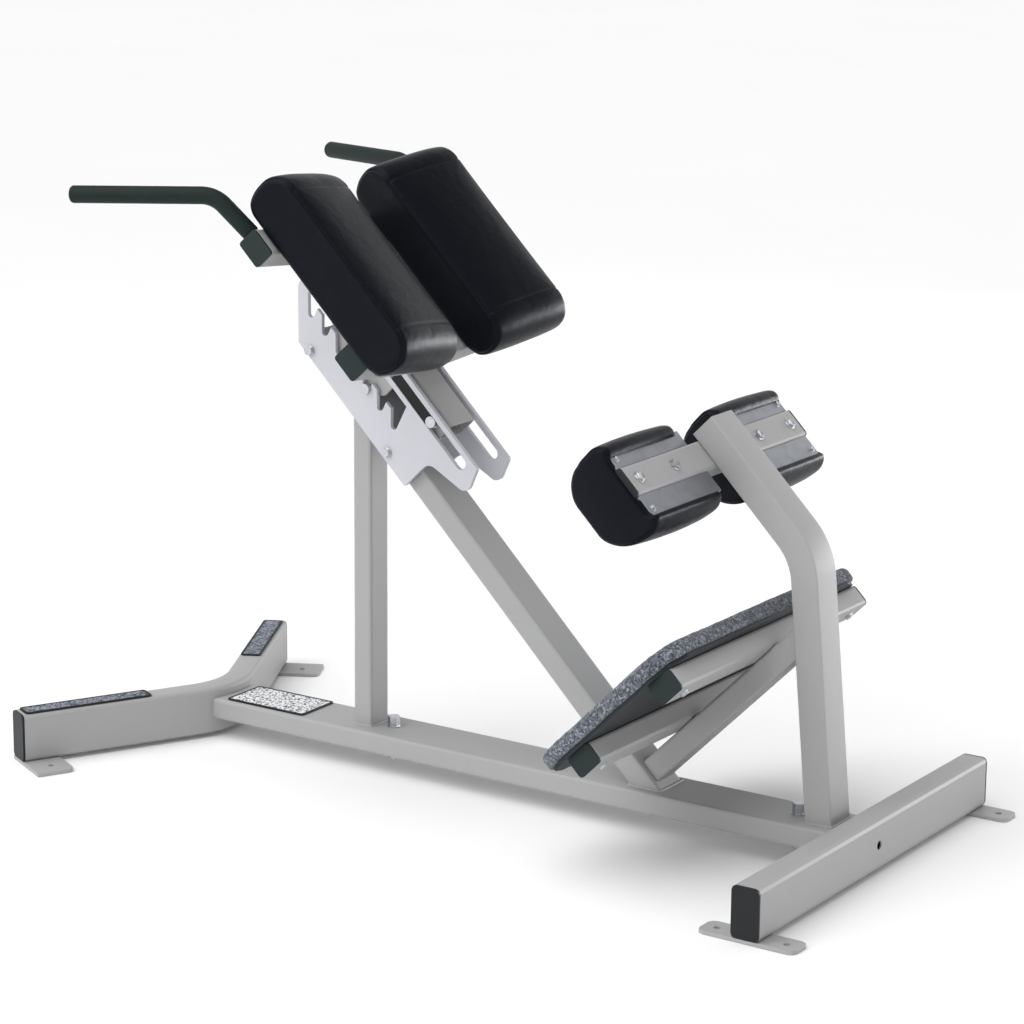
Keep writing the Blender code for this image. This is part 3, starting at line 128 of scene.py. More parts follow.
class BenchCarpet(bpy.types.PropertyGroup):
    """Sizes of the foot platform's carpet and of the anti-slip strips"""

    carpet_edge: length("Carpet edge", "Rounding of the carpet over the platform's edge", 0.011)
    pile_lift: length("Pile lift", "Height of the pile's unevenness", 0.0022)
    strip_rim: length("Strip rim", "Width of the rubber rim round the grit", 0.0035)


# Materials: each maker adds its nodes with add() and gives what goes into the shader

FACTOR, FIRST, SECOND = 0, 6, 7  # inputs of a Mix node for colours, which share their names with others


def add_node(tree, kind, inputs=None, **settings):
    """Adds a node with its settings; inputs are values, sockets, or nodes, which give their first output."""
    node = tree.nodes.new(kind)
    for name, value in settings.items():
        setattr(node, name, value)
    for name, value in (inputs or {}).items():
        if isinstance(value, bpy.types.Node):
            value = next(socket for socket in value.outputs if socket.enabled)
        if isinstance(value, bpy.types.NodeSocket):
            tree.links.new(value, node.inputs[name])
        else:
            node.inputs[name].default_value = value
    return node


def per_metre(millimetres):
    """Texture scale whose features have this size."""
    return 1000 / millimetres


def shaded(value, factor):
    return (*(min(1.0, part * factor) for part in value[:3]), 1.0)


def rounded_edges(add, radius, samples, most):
    """A normal rounded over the edges, and how much of an edge each point is, up to most."""
    soft = add("ShaderNodeBevel", {"Radius": radius}, samples=samples)
    facing = add("ShaderNodeNewGeometry").outputs["Normal"]
    agree = add("ShaderNodeVectorMath", {0: soft, 1: facing}, operation="DOT_PRODUCT")
    span = {"From Min": 0.985, "From Max": 0.86, "To Max": most}
    return soft, add("ShaderNodeMapRange", {"Value": agree, **span})


def powder_coated_steel(add, place, base, peel_mm=2.2, roughness=0.54):
    """Powder-coated steel: a thick, even film with fine orange peel, round on its edges, where a painted
    highlight makes it a touch paler.
    """
    # the cloudiness of a sprayed film, a hand wide
    cloud = add("ShaderNodeTexNoise", {"Vector": place, "Scale": per_metre(140), "Detail": 4.0})
    tone = {FACTOR: cloud, FIRST: shaded(base, 0.95), SECOND: shaded(base, 1.05)}
    tone = add("ShaderNodeMix", tone, data_type="RGBA")
    # rubbed marks from shoes and floor cloths, long and faint
    stretch = add("ShaderNodeMapping", {"Vector": place, "Scale": (1.0, 1.0, 0.25)})
    rub = {"Vector": stretch, "Scale": per_metre(9), "Detail": 6.0, "Roughness": 0.7}
    rub = add("ShaderNodeTexNoise", rub)
    rubbed = add("ShaderNodeMapRange", {"Value": rub, "From Min": 0.58, "From Max": 0.78, "To Max": 0.16})
    marked = {FACTOR: rubbed, FIRST: tone, SECOND: shaded(base, 1.22)}
    marked = add("ShaderNodeMix", marked, data_type="RGBA")
    # tube corners are rounded under the film; a painted highlight makes the colour paler along them, where
    # they would catch the light
    soft, edge = rounded_edges(add, 0.0022, 6, 0.5)
    painted_edge_light = {FACTOR: edge, FIRST: marked, SECOND: shaded(base, 1.3)}
    peel = {"Vector": place, "Scale": per_metre(peel_mm), "Detail": 2.0, "Roughness": 0.45}
    peel = add("ShaderNodeTexNoise", peel)
    skin = {"Height": peel, "Normal": soft, "Strength": 0.16, "Distance": 0.0005}
    gloss = {"Value": cloud, "To Min": roughness - 0.05, "To Max": roughness + 0.07}
    return {
        "Base Color": add("ShaderNodeMix", painted_edge_light, data_type="RGBA"),
        "Roughness": add("ShaderNodeMapRange", gloss),
        "Normal": add("ShaderNodeBump", skin),
        "IOR": 1.5,
    }


def moulded_plastic(add, place, base, grain_mm=0.9, roughness=0.48):
    """Moulded polyethylene: a satin skin with spark-eroded grain and a painted highlight along its edges."""
    cloud = add("ShaderNodeTexNoise", {"Vector": place, "Scale": per_metre(18), "Detail": 3.0})
    tone = {FACTOR: cloud, FIRST: shaded(base, 0.8), SECOND: shaded(base, 1.25)}
    tone = add("ShaderNodeMix", tone, data_type="RGBA")
    soft, edge = rounded_edges(add, 0.0015, 4, 0.55)
    # painted highlight: the colour is made much paler along the rounded edges
    painted_rim_light = {FACTOR: edge, FIRST: tone, SECOND: shaded(base, 2.2)}
    grain = add("ShaderNodeTexNoise", {"Vector": place, "Scale": per_metre(grain_mm), "Detail": 2.0})
    skin = {"Height": grain, "Normal": soft, "Strength": 0.35, "Distance": 0.0003}
    gloss = {"Value": cloud, "To Min": roughness - 0.08, "To Max": roughness + 0.08}
    return {
        "Base Color": add("ShaderNodeMix", painted_rim_light, data_type="RGBA"),
        "Roughness": add("ShaderNodeMapRange", gloss),
        "Normal": add("ShaderNodeBump", skin),
        "IOR": 1.5,
        "Specular IOR Level": 0.3,
    }


def dipped_rubber(add, place, base):
    """Dipped or moulded rubber: nearly matt, finely pebbled, dusty where hands and shoes don't reach."""
    dust = add("ShaderNodeTexNoise", {"Vector": place, "Scale": per_metre(35), "Detail": 5.0})
    tone = {FACTOR: dust, FIRST: shaded(base, 0.75), SECOND: shaded(base, 1.3)}
    pebble = {"Vector": place, "Scale": per_metre(1.6)}
    pebble = add("ShaderNodeTexVoronoi", pebble, feature="SMOOTH_F1")
    return {
        "Base Color": add("ShaderNodeMix", tone, data_type="RGBA"),
        "Roughness": add("ShaderNodeMapRange", {"Value": dust, "To Min": 0.5, "To Max": 0.66}),
        "Normal": add("ShaderNodeBump", {"Height": pebble, "Strength": 0.3, "Distance": 0.0004}),
        "IOR": 1.5,
        "Specular IOR Level": 0.2,
    }


def upholstery_vinyl(add, place, base):
    """Calendered vinyl on foam: embossed leather grain, soft gloss, tiny creases, smoother where rubbed."""
    cloud = add("ShaderNodeTexNoise", {"Vector": place, "Scale": per_metre(60), "Detail": 4.0})
    tone = {FACTOR: cloud, FIRST: shaded(base, 0.8), SECOND: shaded(base, 1.25)}
    # embossed cells of the grain, drawn at 2 mm so that they show, with a finer tooth between them
    cells = {"Vector": place, "Scale": per_metre(2.0), "Randomness": 0.9}
    cells = add("ShaderNodeTexVoronoi", cells, feature="DISTANCE_TO_EDGE")
    valleys = add("ShaderNodeMapRange", {"Value": cells, "From Max": 0.16})
    tooth = add("ShaderNodeTexNoise", {"Vector": place, "Scale": per_metre(0.8), "Detail": 3.0})
    grain = add("ShaderNodeMath", {0: tooth, 1: 0.35, 2: valleys}, operation="MULTIPLY_ADD")
    embossed = add("ShaderNodeBump", {"Height": grain, "Strength": 0.22, "Distance": 0.0004})
    # shallow creases where the cover pulls over the foam
    pull = {"Vector": place, "Scale": per_metre(28), "Detail": 2.0, "Distortion": 0.6}
    pull = add("ShaderNodeTexNoise", pull)
    creased = {"Height": pull, "Normal": embossed, "Strength": 0.25, "Distance": 0.004}
    return {
        "Base Color": add("ShaderNodeMix", tone, data_type="RGBA"),
        "Roughness": add("ShaderNodeMapRange", {"Value": cloud, "To Min": 0.33, "To Max": 0.43}),
        "Normal": add("ShaderNodeBump", creased),
        "IOR": 1.4,
        "Specular IOR Level": 0.18,
        "Specular Tint": linear("E2EDFF"),
    }


def tufted_carpet(add, place, base):
    """Cut-pile carpet: short twisted tufts in two greys and pale flecks, matt, with painted shade in the low
    places between the tufts.
    """
    # tufts are 2 mm in the real pile and drawn at 3.4 mm, so that the speckle shows
    tufts = add("ShaderNodeTexVoronoi", {"Vector": place, "Scale": per_metre(3.4), "Randomness": 1.0})
    fibre = {"Vector": place, "Scale": per_metre(1.3), "Detail": 4.0, "Roughness": 0.7}
    fibre = add("ShaderNodeTexNoise", fibre)
    lot = add("ShaderNodeSeparateColor", {"Color": tufts.outputs["Color"]})
    yarn = add("ShaderNodeMapRange", {"Value": lot.outputs["Red"], "From Min": 0.25, "From Max": 0.75})
    greys = {FACTOR: yarn, FIRST: shaded(base, 0.4), SECOND: shaded(base, 1.2)}
    greys = add("ShaderNodeMix", greys, data_type="RGBA")
    fleck = add("ShaderNodeMapRange", {"Value": lot.outputs["Green"], "From Min": 0.74, "From Max": 0.86})
    flecked = {FACTOR: fleck, FIRST: greys, SECOND: shaded(base, 2.2)}
    flecked = add("ShaderNodeMix", flecked, data_type="RGBA")
    # painted shade: the colour is darkened where the fibre noise, and with it the pile's height, is low
    painted_pile_shade = add("ShaderNodeMapRange", {"Value": fibre, "From Min": 0.3, "From Max": 0.6, "To Min": 0.45})
    depth = {FACTOR: 1.0, FIRST: flecked, SECOND: painted_pile_shade}
    height = add("ShaderNodeMath", {0: tufts, 1: -0.8, 2: fibre}, operation="MULTIPLY_ADD")
    return {
        "Base Color": add("ShaderNodeMix", depth, data_type="RGBA", blend_type="MULTIPLY"),
        "Roughness": 0.95,
        "Normal": add("ShaderNodeBump", {"Height": height, "Strength": 0.9, "Distance": 0.003}),
        "Sheen Weight": 0.25,
        "Sheen Roughness": 0.5,
        "Specular IOR Level": 0.2,
    }


def brushed_steel(add, place, base, roughness=0.36):
    """Brushed steel strip: fine lines along the length, cloudy reflections, a little stain."""
    # the brushing runs along the bar, so the noise is drawn out along Y; its lines are drawn 1 mm apart
    along = add("ShaderNodeMapping", {"Vector": place, "Scale": (1.0, 0.03, 1.0)})
    lines = add("ShaderNodeTexNoise", {"Vector": along, "Scale": per_metre(1.0), "Detail": 3.0})
    stain = add("ShaderNodeTexNoise", {"Vector": place, "Scale": per_metre(30), "Detail": 5.0})
    streak = {FACTOR: lines, FIRST: shaded(base, 0.8), SECOND: shaded(base, 1.1)}
    streak = add("ShaderNodeMix", streak, data_type="RGBA")
    stained = {"Value": stain, "From Min": 0.45, "From Max": 0.75, "To Max": 0.45}
    stained = add("ShaderNodeMapRange", stained)
    tone = {FACTOR: stained, FIRST: streak, SECOND: shaded(base, 0.6)}
    soft = add("ShaderNodeBevel", {"Radius": 0.001}, samples=4)
    scratch = {"Height": lines, "Normal": soft, "Strength": 0.2, "Distance": 0.0002}
    gloss = {"Value": lines, "To Min": roughness - 0.06, "To Max": roughness + 0.12}
    return {
        "Base Color": add("ShaderNodeMix", tone, data_type="RGBA"),
        "Metallic": 1.0,
        "Roughness": add("ShaderNodeMapRange", gloss),
        "Normal": add("ShaderNodeBump", scratch),
    }


def zinc_plate(add, place, base):
    """Bright zinc plating: silvery with faint spangle and duller patches."""
    spangle = add("ShaderNodeTexVoronoi", {"Vector": place, "Scale": per_metre(2.5)})
    patch = add("ShaderNodeTexNoise", {"Vector": place, "Scale": per_metre(6), "Detail": 4.0})
    tone = {FACTOR: patch, FIRST: shaded(base, 0.7), SECOND: shaded(base, 1.15)}
    soft = add("ShaderNodeBevel", {"Radius": 0.0006}, samples=4)
    skin = {"Height": spangle, "Normal": soft, "Strength": 0.12, "Distance": 0.0003}
    return {
        "Base Color": add("ShaderNodeMix", tone, data_type="RGBA"),
        "Metallic": 1.0,
        "Roughness": add("ShaderNodeMapRange", {"Value": patch, "To Min": 0.2, "To Max": 0.42}),
        "Normal": add("ShaderNodeBump", skin),
    }


def painted_plywood(add, place, base):
    """Black-painted plywood: thin paint that lets the open grain telegraph through."""
    along = add("ShaderNodeMapping", {"Vector": place, "Scale": (1.0, 0.08, 1.0)})
    grain = {"Vector": along, "Scale": per_metre(4), "Detail": 6.0, "Roughness": 0.65}
    grain = add("ShaderNodeTexNoise", grain)
    tone = {FACTOR: grain, FIRST: shaded(base, 0.5), SECOND: shaded(base, 1.4)}
    return {
        "Base Color": add("ShaderNodeMix", tone, data_type="RGBA"),
        "Roughness": 0.7,
        "Normal": add("ShaderNodeBump", {"Height": grain, "Strength": 0.4, "Distance": 0.0008}),
        "IOR": 1.5,
    }


def mineral_grit(add, place, base, pale, dark, share, grit_mm):
    """Mineral grit in resin: pale and dark grains packed side by side, rough and sparkling.

    pale shades the grit's own colour and dark that of the grey grit; share is where the noise parts them."""
    stone = bpy.context.scene.bench_finishes.arm_grit
    # grit is under 1 mm and clumps; it is drawn at the size of the clumps, which show
    clumps = {"Vector": place, "Scale": per_metre(grit_mm), "Detail": 3.0, "Roughness": 0.6}
    clumps = add("ShaderNodeTexNoise", clumps)
    grains = add("ShaderNodeTexVoronoi", {"Vector": place, "Scale": per_metre(1.4)})
    split = {"Value": clumps, "From Min": share - 0.02, "From Max": share + 0.02}
    split = add("ShaderNodeMapRange", split)
    tone = {FACTOR: split, FIRST: shaded(stone, dark), SECOND: shaded(base, pale)}
    return {
        "Base Color": add("ShaderNodeMix", tone, data_type="RGBA"),
        "Roughness": 0.8,
        "Normal": add("ShaderNodeBump", {"Height": grains, "Strength": 0.8, "Distance": 0.0012}),
        "IOR": 1.5,
    }


def studio_paper(add, place):
    """White seamless paper: matt, with a barely visible mottle."""
    mottle = add("ShaderNodeTexNoise", {"Vector": place, "Scale": per_metre(900), "Detail": 3.0})
    tone = {FACTOR: mottle, FIRST: linear("FAFAFA"), SECOND: linear("FEFEFE")}
    return {
        "Base Color": add("ShaderNodeMix", tone, data_type="RGBA"),
        "Roughness": 0.9,
        "Specular IOR Level": 0.1,
    }


# of each slot, the material's name, its maker, its colour and the maker's other values
MAKERS = {
    "frame_paint": ("powder_coat_grey", powder_coated_steel, "frame_paint"),
    "carriage_paint": ("powder_coat_carriage_grey", powder_coated_steel, "carriage_paint"),
    "plate_paint": ("powder_coat_silver", powder_coated_steel, "plate_paint", 1.6, 0.42),
    "cap_plastic": ("moulded_cap_green_black", moulded_plastic, "end_cap"),
    "base_cap_plastic": ("moulded_cap_black", moulded_plastic, "base_cap"),
    "grip_rubber": ("dipped_rubber_green_black", dipped_rubber, "hand_grip"),
    "strip_rubber": ("strip_rubber_black", dipped_rubber, "strip_rubber"),
    "pad_vinyl": ("calendered_vinyl_black", upholstery_vinyl, "vinyl"),
    "board_wood": ("painted_plywood_black", painted_plywood, "board"),
    "carpet": ("cut_pile_carpet_blue_grey", tufted_carpet, "carpet"),
    "bracket_steel": ("brushed_steel", brushed_steel, "steel"),
    "chrome": ("zinc_plate", zinc_plate, "zinc"),
    "block_plastic": ("moulded_nylon_black", moulded_plastic, "nylon", 0.7, 0.4),
    "arm_grit": ("mineral_grit_grey", mineral_grit, "arm_grit", 1.5, 0.25, 0.5, 4.0),
    "rail_grit": ("mineral_grit_white", mineral_grit, "rail_grit", 1.0, 0.3, 0.46, 5.0),
}
MADE = {}


def made(name, maker, *values):
    """A new material, with its maker's nodes and one shader."""
    material = bpy.data.materials.new(name)
    material.use_nodes = True
    material.node_tree.nodes.clear()
    add = partial(add_node, material.node_tree)
    place = add("ShaderNodeTexCoord").outputs["Object"]
    shader = add("ShaderNodeBsdfPrincipled", maker(add, place, *values))
    add("ShaderNodeOutputMaterial", {"Surface": shader})
    return material


def finish(slot):
    """Material of a slot, made once."""
    if slot not in MADE:
        name, maker, setting, *others = MAKERS[slot]
        MADE[slot] = made(name, maker, getattr(bpy.context.scene.bench_finishes, setting), *others)
    return MADE[slot]


# Modelling


def begin():
    """Deselects everything, so that an operator acts on the new piece alone."""
    if bpy.context.object and bpy.context.object.mode != "OBJECT":
        bpy.ops.object.mode_set(mode="OBJECT")
    bpy.ops.object.select_all(action="DESELECT")


def only(piece):
    """Selects the piece alone, and makes it the active one."""
    begin()
    piece.select_set(True)
    bpy.context.view_layer.objects.active = piece


def named(name):
    piece = bpy.context.object
    piece.name = name
    piece.data.name = name
    return piece


def twin(piece, name):
    """A copy of the piece, with its own mesh."""
    copy = piece.copy()
    copy.data = piece.data.copy()
    copy.name = name
    copy.data.name = name
    bpy.context.scene.collection.objects.link(copy)
    return copy


def settle(piece, place):
    """Puts the piece where place says, with its place in its mesh."""
    if bpy.context.object.mode != "OBJECT":
        bpy.ops.object.mode_set(mode="OBJECT")
    piece.matrix_world = place
    bpy.ops.object.transform_apply(location=True, rotation=True, scale=True)


def pick(piece, kind, chosen):
    """Selects, in edit mode, the faces or edges that chosen() picks by their place or normal."""
    bpy.ops.mesh.select_mode(type="EDGE" if kind == "edges" else "FACE")
    bpy.ops.mesh.select_all(action="DESELECT")
    mesh = bmesh.from_edit_mesh(piece.data)
    mesh.normal_update()
    found = [part for part in getattr(mesh, kind) if chosen(part)]
    if not found:
        raise RuntimeError(f"nothing to pick on {piece.name}")
    for part in found:
        part.select_set(True)
    bmesh.update_edit_mesh(piece.data)


def centre(part):
    return sum((vert.co for vert in part.verts), Vector()) / len(part.verts)


def rounded_sheet(name, long, wide, corner, segments):
    """A flat rectangle with round corners, left in edit mode."""
    begin()
    bpy.ops.mesh.primitive_plane_add(size=1)
    piece = named(name)
    bpy.ops.object.mode_set(mode="EDIT")
    bpy.ops.transform.resize(value=(long, wide, 1))
    bpy.ops.mesh.bevel(offset=corner, segments=segments, affect="VERTICES")
    return piece


def round_rim(piece, level, offset, segments):
    """Rounds, in edit mode, the edges that lie at this level."""
    pick(piece, "edges", lambda edge: all(abs(vert.co.z - level) < NEARLY for vert in edge.verts))
    bpy.ops.mesh.bevel(offset=offset, segments=segments, affect="EDGES")


def close_up(piece, angle=35):
    """Merges doubles, turns all faces outwards, smooths, and makes sure that the piece is closed."""
    bpy.ops.object.mode_set(mode="EDIT")
    bpy.ops.mesh.select_mode(type="VERT")
    bpy.ops.mesh.select_all(action="SELECT")
    bpy.ops.mesh.remove_doubles(threshold=0.000002)
    bpy.ops.mesh.normals_make_consistent(inside=False)
    bpy.ops.object.mode_set(mode="OBJECT")
    check = bmesh.new()
    check.from_mesh(piece.data)
    loose = [edge for edge in check.edges if len(edge.link_faces) != 2]
    check.free()
    if loose:
        raise RuntimeError(f"{piece.name} isn't closed: {len(loose)} edges")
    bpy.ops.object.shade_smooth_by_angle(angle=math.radians(angle))


def dress(piece, body, slot, *replaced, extra=()):
    """Gives a finished piece its materials, the body it rides on and the nodes it stands for."""
    piece.data.materials.clear()
    for name in (slot, *extra):
        piece.data.materials.append(finish(name))
    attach(piece, body)
    if replaced:
        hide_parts(*replaced)


def axes(origin, along, beside):
    """Placement whose Z runs along, and whose X runs beside it."""
    z = along.normalized()
    x = (beside - z * beside.dot(z)).normalized()
    place = Matrix((x, z.cross(x), z)).transposed().to_4x4()
    place.translation = origin
    return place


def drawn(name, section, start, heading, beside, steps):
    """A closed bar drawn along its path: each step is a straight length with a new radius, or a bend.

    section is a radius, or the width beside, the height and the corner radius of a square tube."""
    if isinstance(section, tuple):
        piece = rounded_sheet(name, *section, 5)
    else:
        begin()
        bpy.ops.mesh.primitive_circle_add(vertices=36, radius=section, fill_type="NGON")
        piece = named(name)
    settle(piece, axes(start, heading, beside))
    bpy.ops.object.mode_set(mode="EDIT")
    bpy.ops.mesh.select_mode(type="FACE")
    bpy.ops.mesh.select_all(action="SELECT")
    at, ahead = start.copy(), heading.normalized()
    for step in steps:
        if "advance" in step:
            bpy.ops.mesh.extrude_region_move(TRANSFORM_OT_translate={"value": ahead * step["advance"]})
            at += ahead * step["advance"]
            if "shrink" in step:
                bpy.ops.transform.resize(value=(step["shrink"],) * 3, center_override=at)
        else:
            hub = at + step["toward"] * step["radius"]
            axle = ahead.cross(step["toward"]).normalized()
            # one ring of faces every 3 degrees
            count = max(4, round(math.degrees(step["angle"]) / 3))
            bpy.ops.mesh.spin(steps=count, angle=-step["angle"], center=hub, axis=axle)
            turn = Matrix.Rotation(step["angle"], 3, axle)
            at = hub + turn @ (at - hub)
            ahead = turn @ ahead
    mesh = bmesh.from_edit_mesh(piece.data)
    ends = [centre(face) for face in mesh.faces if face.select]
    if len(ends) != 1 or (ends[0] - at).length > 0.0005:
        raise RuntimeError(f"{name} ends at {ends}, not at {at}")
    return piece


def bend(first, corner, last, radius):
    """The steps between three points: a straight length, the bend and a straight length."""
    ahead, onward = (corner - first).normalized(), (last - corner).normalized()
    angle = ahead.angle(onward)
    reach = radius * math.tan(angle / 2)
    toward = (onward - ahead * onward.dot(ahead)).normalized()
    return (
        {"advance": (corner - first).length - reach},
        {"toward": toward, "radius": radius, "angle": angle},
        {"advance": (last - corner).length - reach},
    )


class BENCH_OT_finishes(bpy.types.Operator):
    """Gives every node of the frame its real finish"""

    bl_idname = "bench.finishes"
    bl_label = "Frame finishes"
    bl_options = {"REGISTER", "UNDO"}

    def execute(self, context):
        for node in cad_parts.values():
            slot = node.data.materials[0].name.split(".")[0]
            for at in range(len(node.data.materials)):
                node.data.materials[at] = finish(slot)
        return {"FINISHED"}


class BENCH_OT_base_tube(bpy.types.Operator):
    """Bends the front base tube to its V"""

    bl_idname = "bench.base_tube"
    bl_label = "Front base tube"
    bl_options = {"REGISTER", "UNDO"}

    def execute(self, context):
        section = (0.0889, 0.0508, 0.008)
        corner, arm = Vector((-0.6115454, 0, 0.0511)), 0.4287
        near, far = (
            corner + Vector((-math.sin(ARM_TURN), side * math.cos(ARM_TURN), 0)) * arm for name, side in SIDES
        )
        steps = bend(near, corner, far, context.scene.bench_metal.base_bend)
        piece = drawn("front_base_bend", section, near, corner - near, Vector((0, 0, 1)), steps)
        close_up(piece)
        dress(piece, "frame", "frame_paint", "front_base_tube")
        return {"FINISHED"}


class BENCH_OT_rear_post(bpy.types.Operator):
    """Bends the rear post from the rail up to the leg pads"""

    bl_idname = "bench.rear_post"
    bl_label = "Rear post"
    bl_options = {"REGISTER", "UNDO"}

    def execute(self, context):
        section = (0.0508, 0.068, 0.003)
        half = section[0] / 2
        lean, slope = math.radians(5.6), math.radians(45)
        ahead = Vector((-math.sin(lean), 0, math.cos(lean)))
        down = Vector((math.cos(slope), 0, -math.sin(slope)))
        foot = Vector((0.6447636, 0, RAIL_TOP)) + Vector((math.cos(lean), 0, math.sin(lean))) * half
        top = INCLINE @ Vector((0.4695, 0, 0.4617 + half))
        # the corner is where the leaning part meets the sloping one
        gap = top - foot
        corner = foot + ahead * ((gap.x * down.z - gap.z * down.x) / (ahead.x * down.z - ahead.z * down.x))
        # it starts inside the rail, and is trimmed 0.3 mm above it
        start, trim = foot - ahead * 0.02, (0, 0, RAIL_TOP + 0.0003)
        steps = bend(start, corner, top, context.scene.bench_metal.post_bend)
        piece = drawn("rear_post_bend", section, start, corner - start, Vector((1, 0, 0)), steps)
        bpy.ops.mesh.select_all(action="SELECT")
        bpy.ops.mesh.bisect(plane_co=trim, plane_no=(0, 0, 1), use_fill=True, clear_inner=True)
        close_up(piece)
        dress(piece, "frame", "frame_paint", "rear_post")
        return {"FINISHED"}


class BENCH_OT_welds(bpy.types.Operator):
    """Lays the weld beads round the feet of the post, upright and diagonal, and round the rail's end"""

    bl_idname = "bench.welds"
    bl_label = "Weld beads"
    bl_options = {"REGISTER", "UNDO"}

    def execute(self, context):
        radius = context.scene.bench_metal.weld
        seat, rail_end, cuts, ripple = RAIL_TOP + 0.0002, 0.7189, 18, 0.13
        upright = Matrix.Rotation(math.radians(90), 4, "Y")
        # name, length and width of the joint's outline, and its place
        joints = (
            ("weld_upright", 0.0396, 0.0550, Matrix.Translation((-0.2855, 0, seat))),
            ("weld_diagonal", 0.0637, 0.0760, Matrix.Translation((0.33015, 0, seat))),
            ("weld_post", 0.0511, 0.0680, Matrix.Translation((0.67025, 0, seat))),
            ("weld_rail_end", 0.0400, 0.1150, Matrix.Translation((rail_end, 0, 0.056)) @ upright),
        )
        for name, long, wide, place in joints:
            piece = rounded_sheet(name, long + radius * 0.4, wide + radius * 0.4, 0.004, 3)
            pick(piece, "edges", lambda edge: edge.calc_length() > 0.01)
            bpy.ops.mesh.subdivide(number_cuts=cuts)
            bpy.ops.mesh.select_all(action="SELECT")
            bpy.ops.mesh.delete(type="ONLY_FACE")
            bpy.ops.object.mode_set(mode="OBJECT")
            bpy.ops.object.convert(target="CURVE")
            path = bpy.context.object.data
            path.bevel_depth = radius
            path.bevel_resolution = 2
            for spline in path.splines:
                for at, point in enumerate(spline.points):
                    # one ripple of the bead every third point, as the torch steps on
                    point.radius = 1 + ripple * math.cos(at * math.tau / 3)
            bpy.ops.object.convert(target="MESH")
            piece = named(name)
            settle(piece, place)
            close_up(piece, 60)
            dress(piece, "frame", "frame_paint")
        return {"FINISHED"}


class BENCH_OT_hand_grips(bpy.types.Operator):
    """Bends the two handles' rubber grips, with rounded noses"""

    bl_idname = "bench.hand_grips"
    bl_label = "Hand grips"
    bl_options = {"REGISTER", "UNDO"}

    def execute(self, context):
        metal = context.scene.bench_metal
        # the lip where the grip starts, and the nose as a quarter round in small steps
        lip = [{"advance": 0.0006, "shrink": 1.07}, {"advance": 0.0012, "shrink": 1.035}]
        nose, depth, tip_size, steps = [], 0.0075, 0.3, 8
        along, size = 0.0, 1.0
        for part in range(1, steps):
            swing = math.radians(90 * part / steps)
            reach = depth * math.sin(swing)
            narrow = tip_size + (1 - tip_size) * math.cos(swing)
            nose.append({"advance": reach - along, "shrink": narrow / size})
            along, size = reach, narrow
        root_radius = metal.grip_radius / math.prod(step["shrink"] for step in lip)
        for name, side in SIDES:
            root = INCLINE @ Vector((-0.2698, side * 0.265, 0.1396))
            knee = INCLINE @ Vector((-0.367, side * 0.280, 0.135))
            tip = INCLINE @ Vector((-0.535, side * 0.376, -0.0445))
            start = root + (knee - root).normalized() * 0.004
            first, turn, last = bend(start, knee, tip, metal.grip_bend)
            first["advance"] -= sum(step["advance"] for step in lip)
            last["advance"] -= along
            path = [*lip, first, turn, last, *nose]
            piece = drawn(f"hand_grip_{name}", root_radius, start, knee - start, Vector((0, 0, 1)), path)
            close_up(piece, 40)
            dress(piece, "carriage", "grip_rubber", f"handle_grip_{name}")
        return {"FINISHED"}


class BENCH_OT_foot_tread(bpy.types.Operator):
    """Lays the carpet of the foot platform round its board"""

    bl_idname = "bench.foot_tread"
    bl_label = "Carpeted tread"
    bl_options = {"REGISTER", "UNDO"}

    def execute(self, context):
        carpet = context.scene.bench_carpet
        long, wide, thick, corner = 0.352, 0.668, 0.0272, 0.060
        piece = rounded_sheet("foot_carpet", long, wide, corner, 10)
        bpy.ops.mesh.extrude_region_move(TRANSFORM_OT_translate={"value": (0, 0, thick)})
        round_rim(piece, thick, carpet.carpet_edge, 5)
        round_rim(piece, 0, 0.004, 2)
        bpy.ops.mesh.select_all(action="SELECT")
        bpy.ops.mesh.normals_make_consistent(inside=False)
        bpy.ops.object.mode_set(mode="OBJECT")
        piece.data.remesh_voxel_size = 0.0035
        bpy.ops.object.voxel_remesh()
        # the pile stands up unevenly, tuft by tuft and where feet have trodden it
        for label, size, share in (("tufts", 0.006, 0.45), ("trodden", 0.05, 0.55)):
            clouds = bpy.data.textures.new(label, "CLOUDS")
            clouds.noise_scale = size
            lift = piece.modifiers.new(label, "DISPLACE")
            lift.texture = clouds
            lift.texture_coords = "LOCAL"
            lift.strength = carpet.pile_lift * share * 2
            lift.mid_level = 0.5
            bpy.ops.object.modifier_apply(modifier=label)
        settle(piece, PLATFORM @ Matrix.Translation((-0.126, 0, 0.0268)))
        close_up(piece, 180)
        dress(piece, "frame", "carpet", "foot_tread")
        return {"FINISHED"}


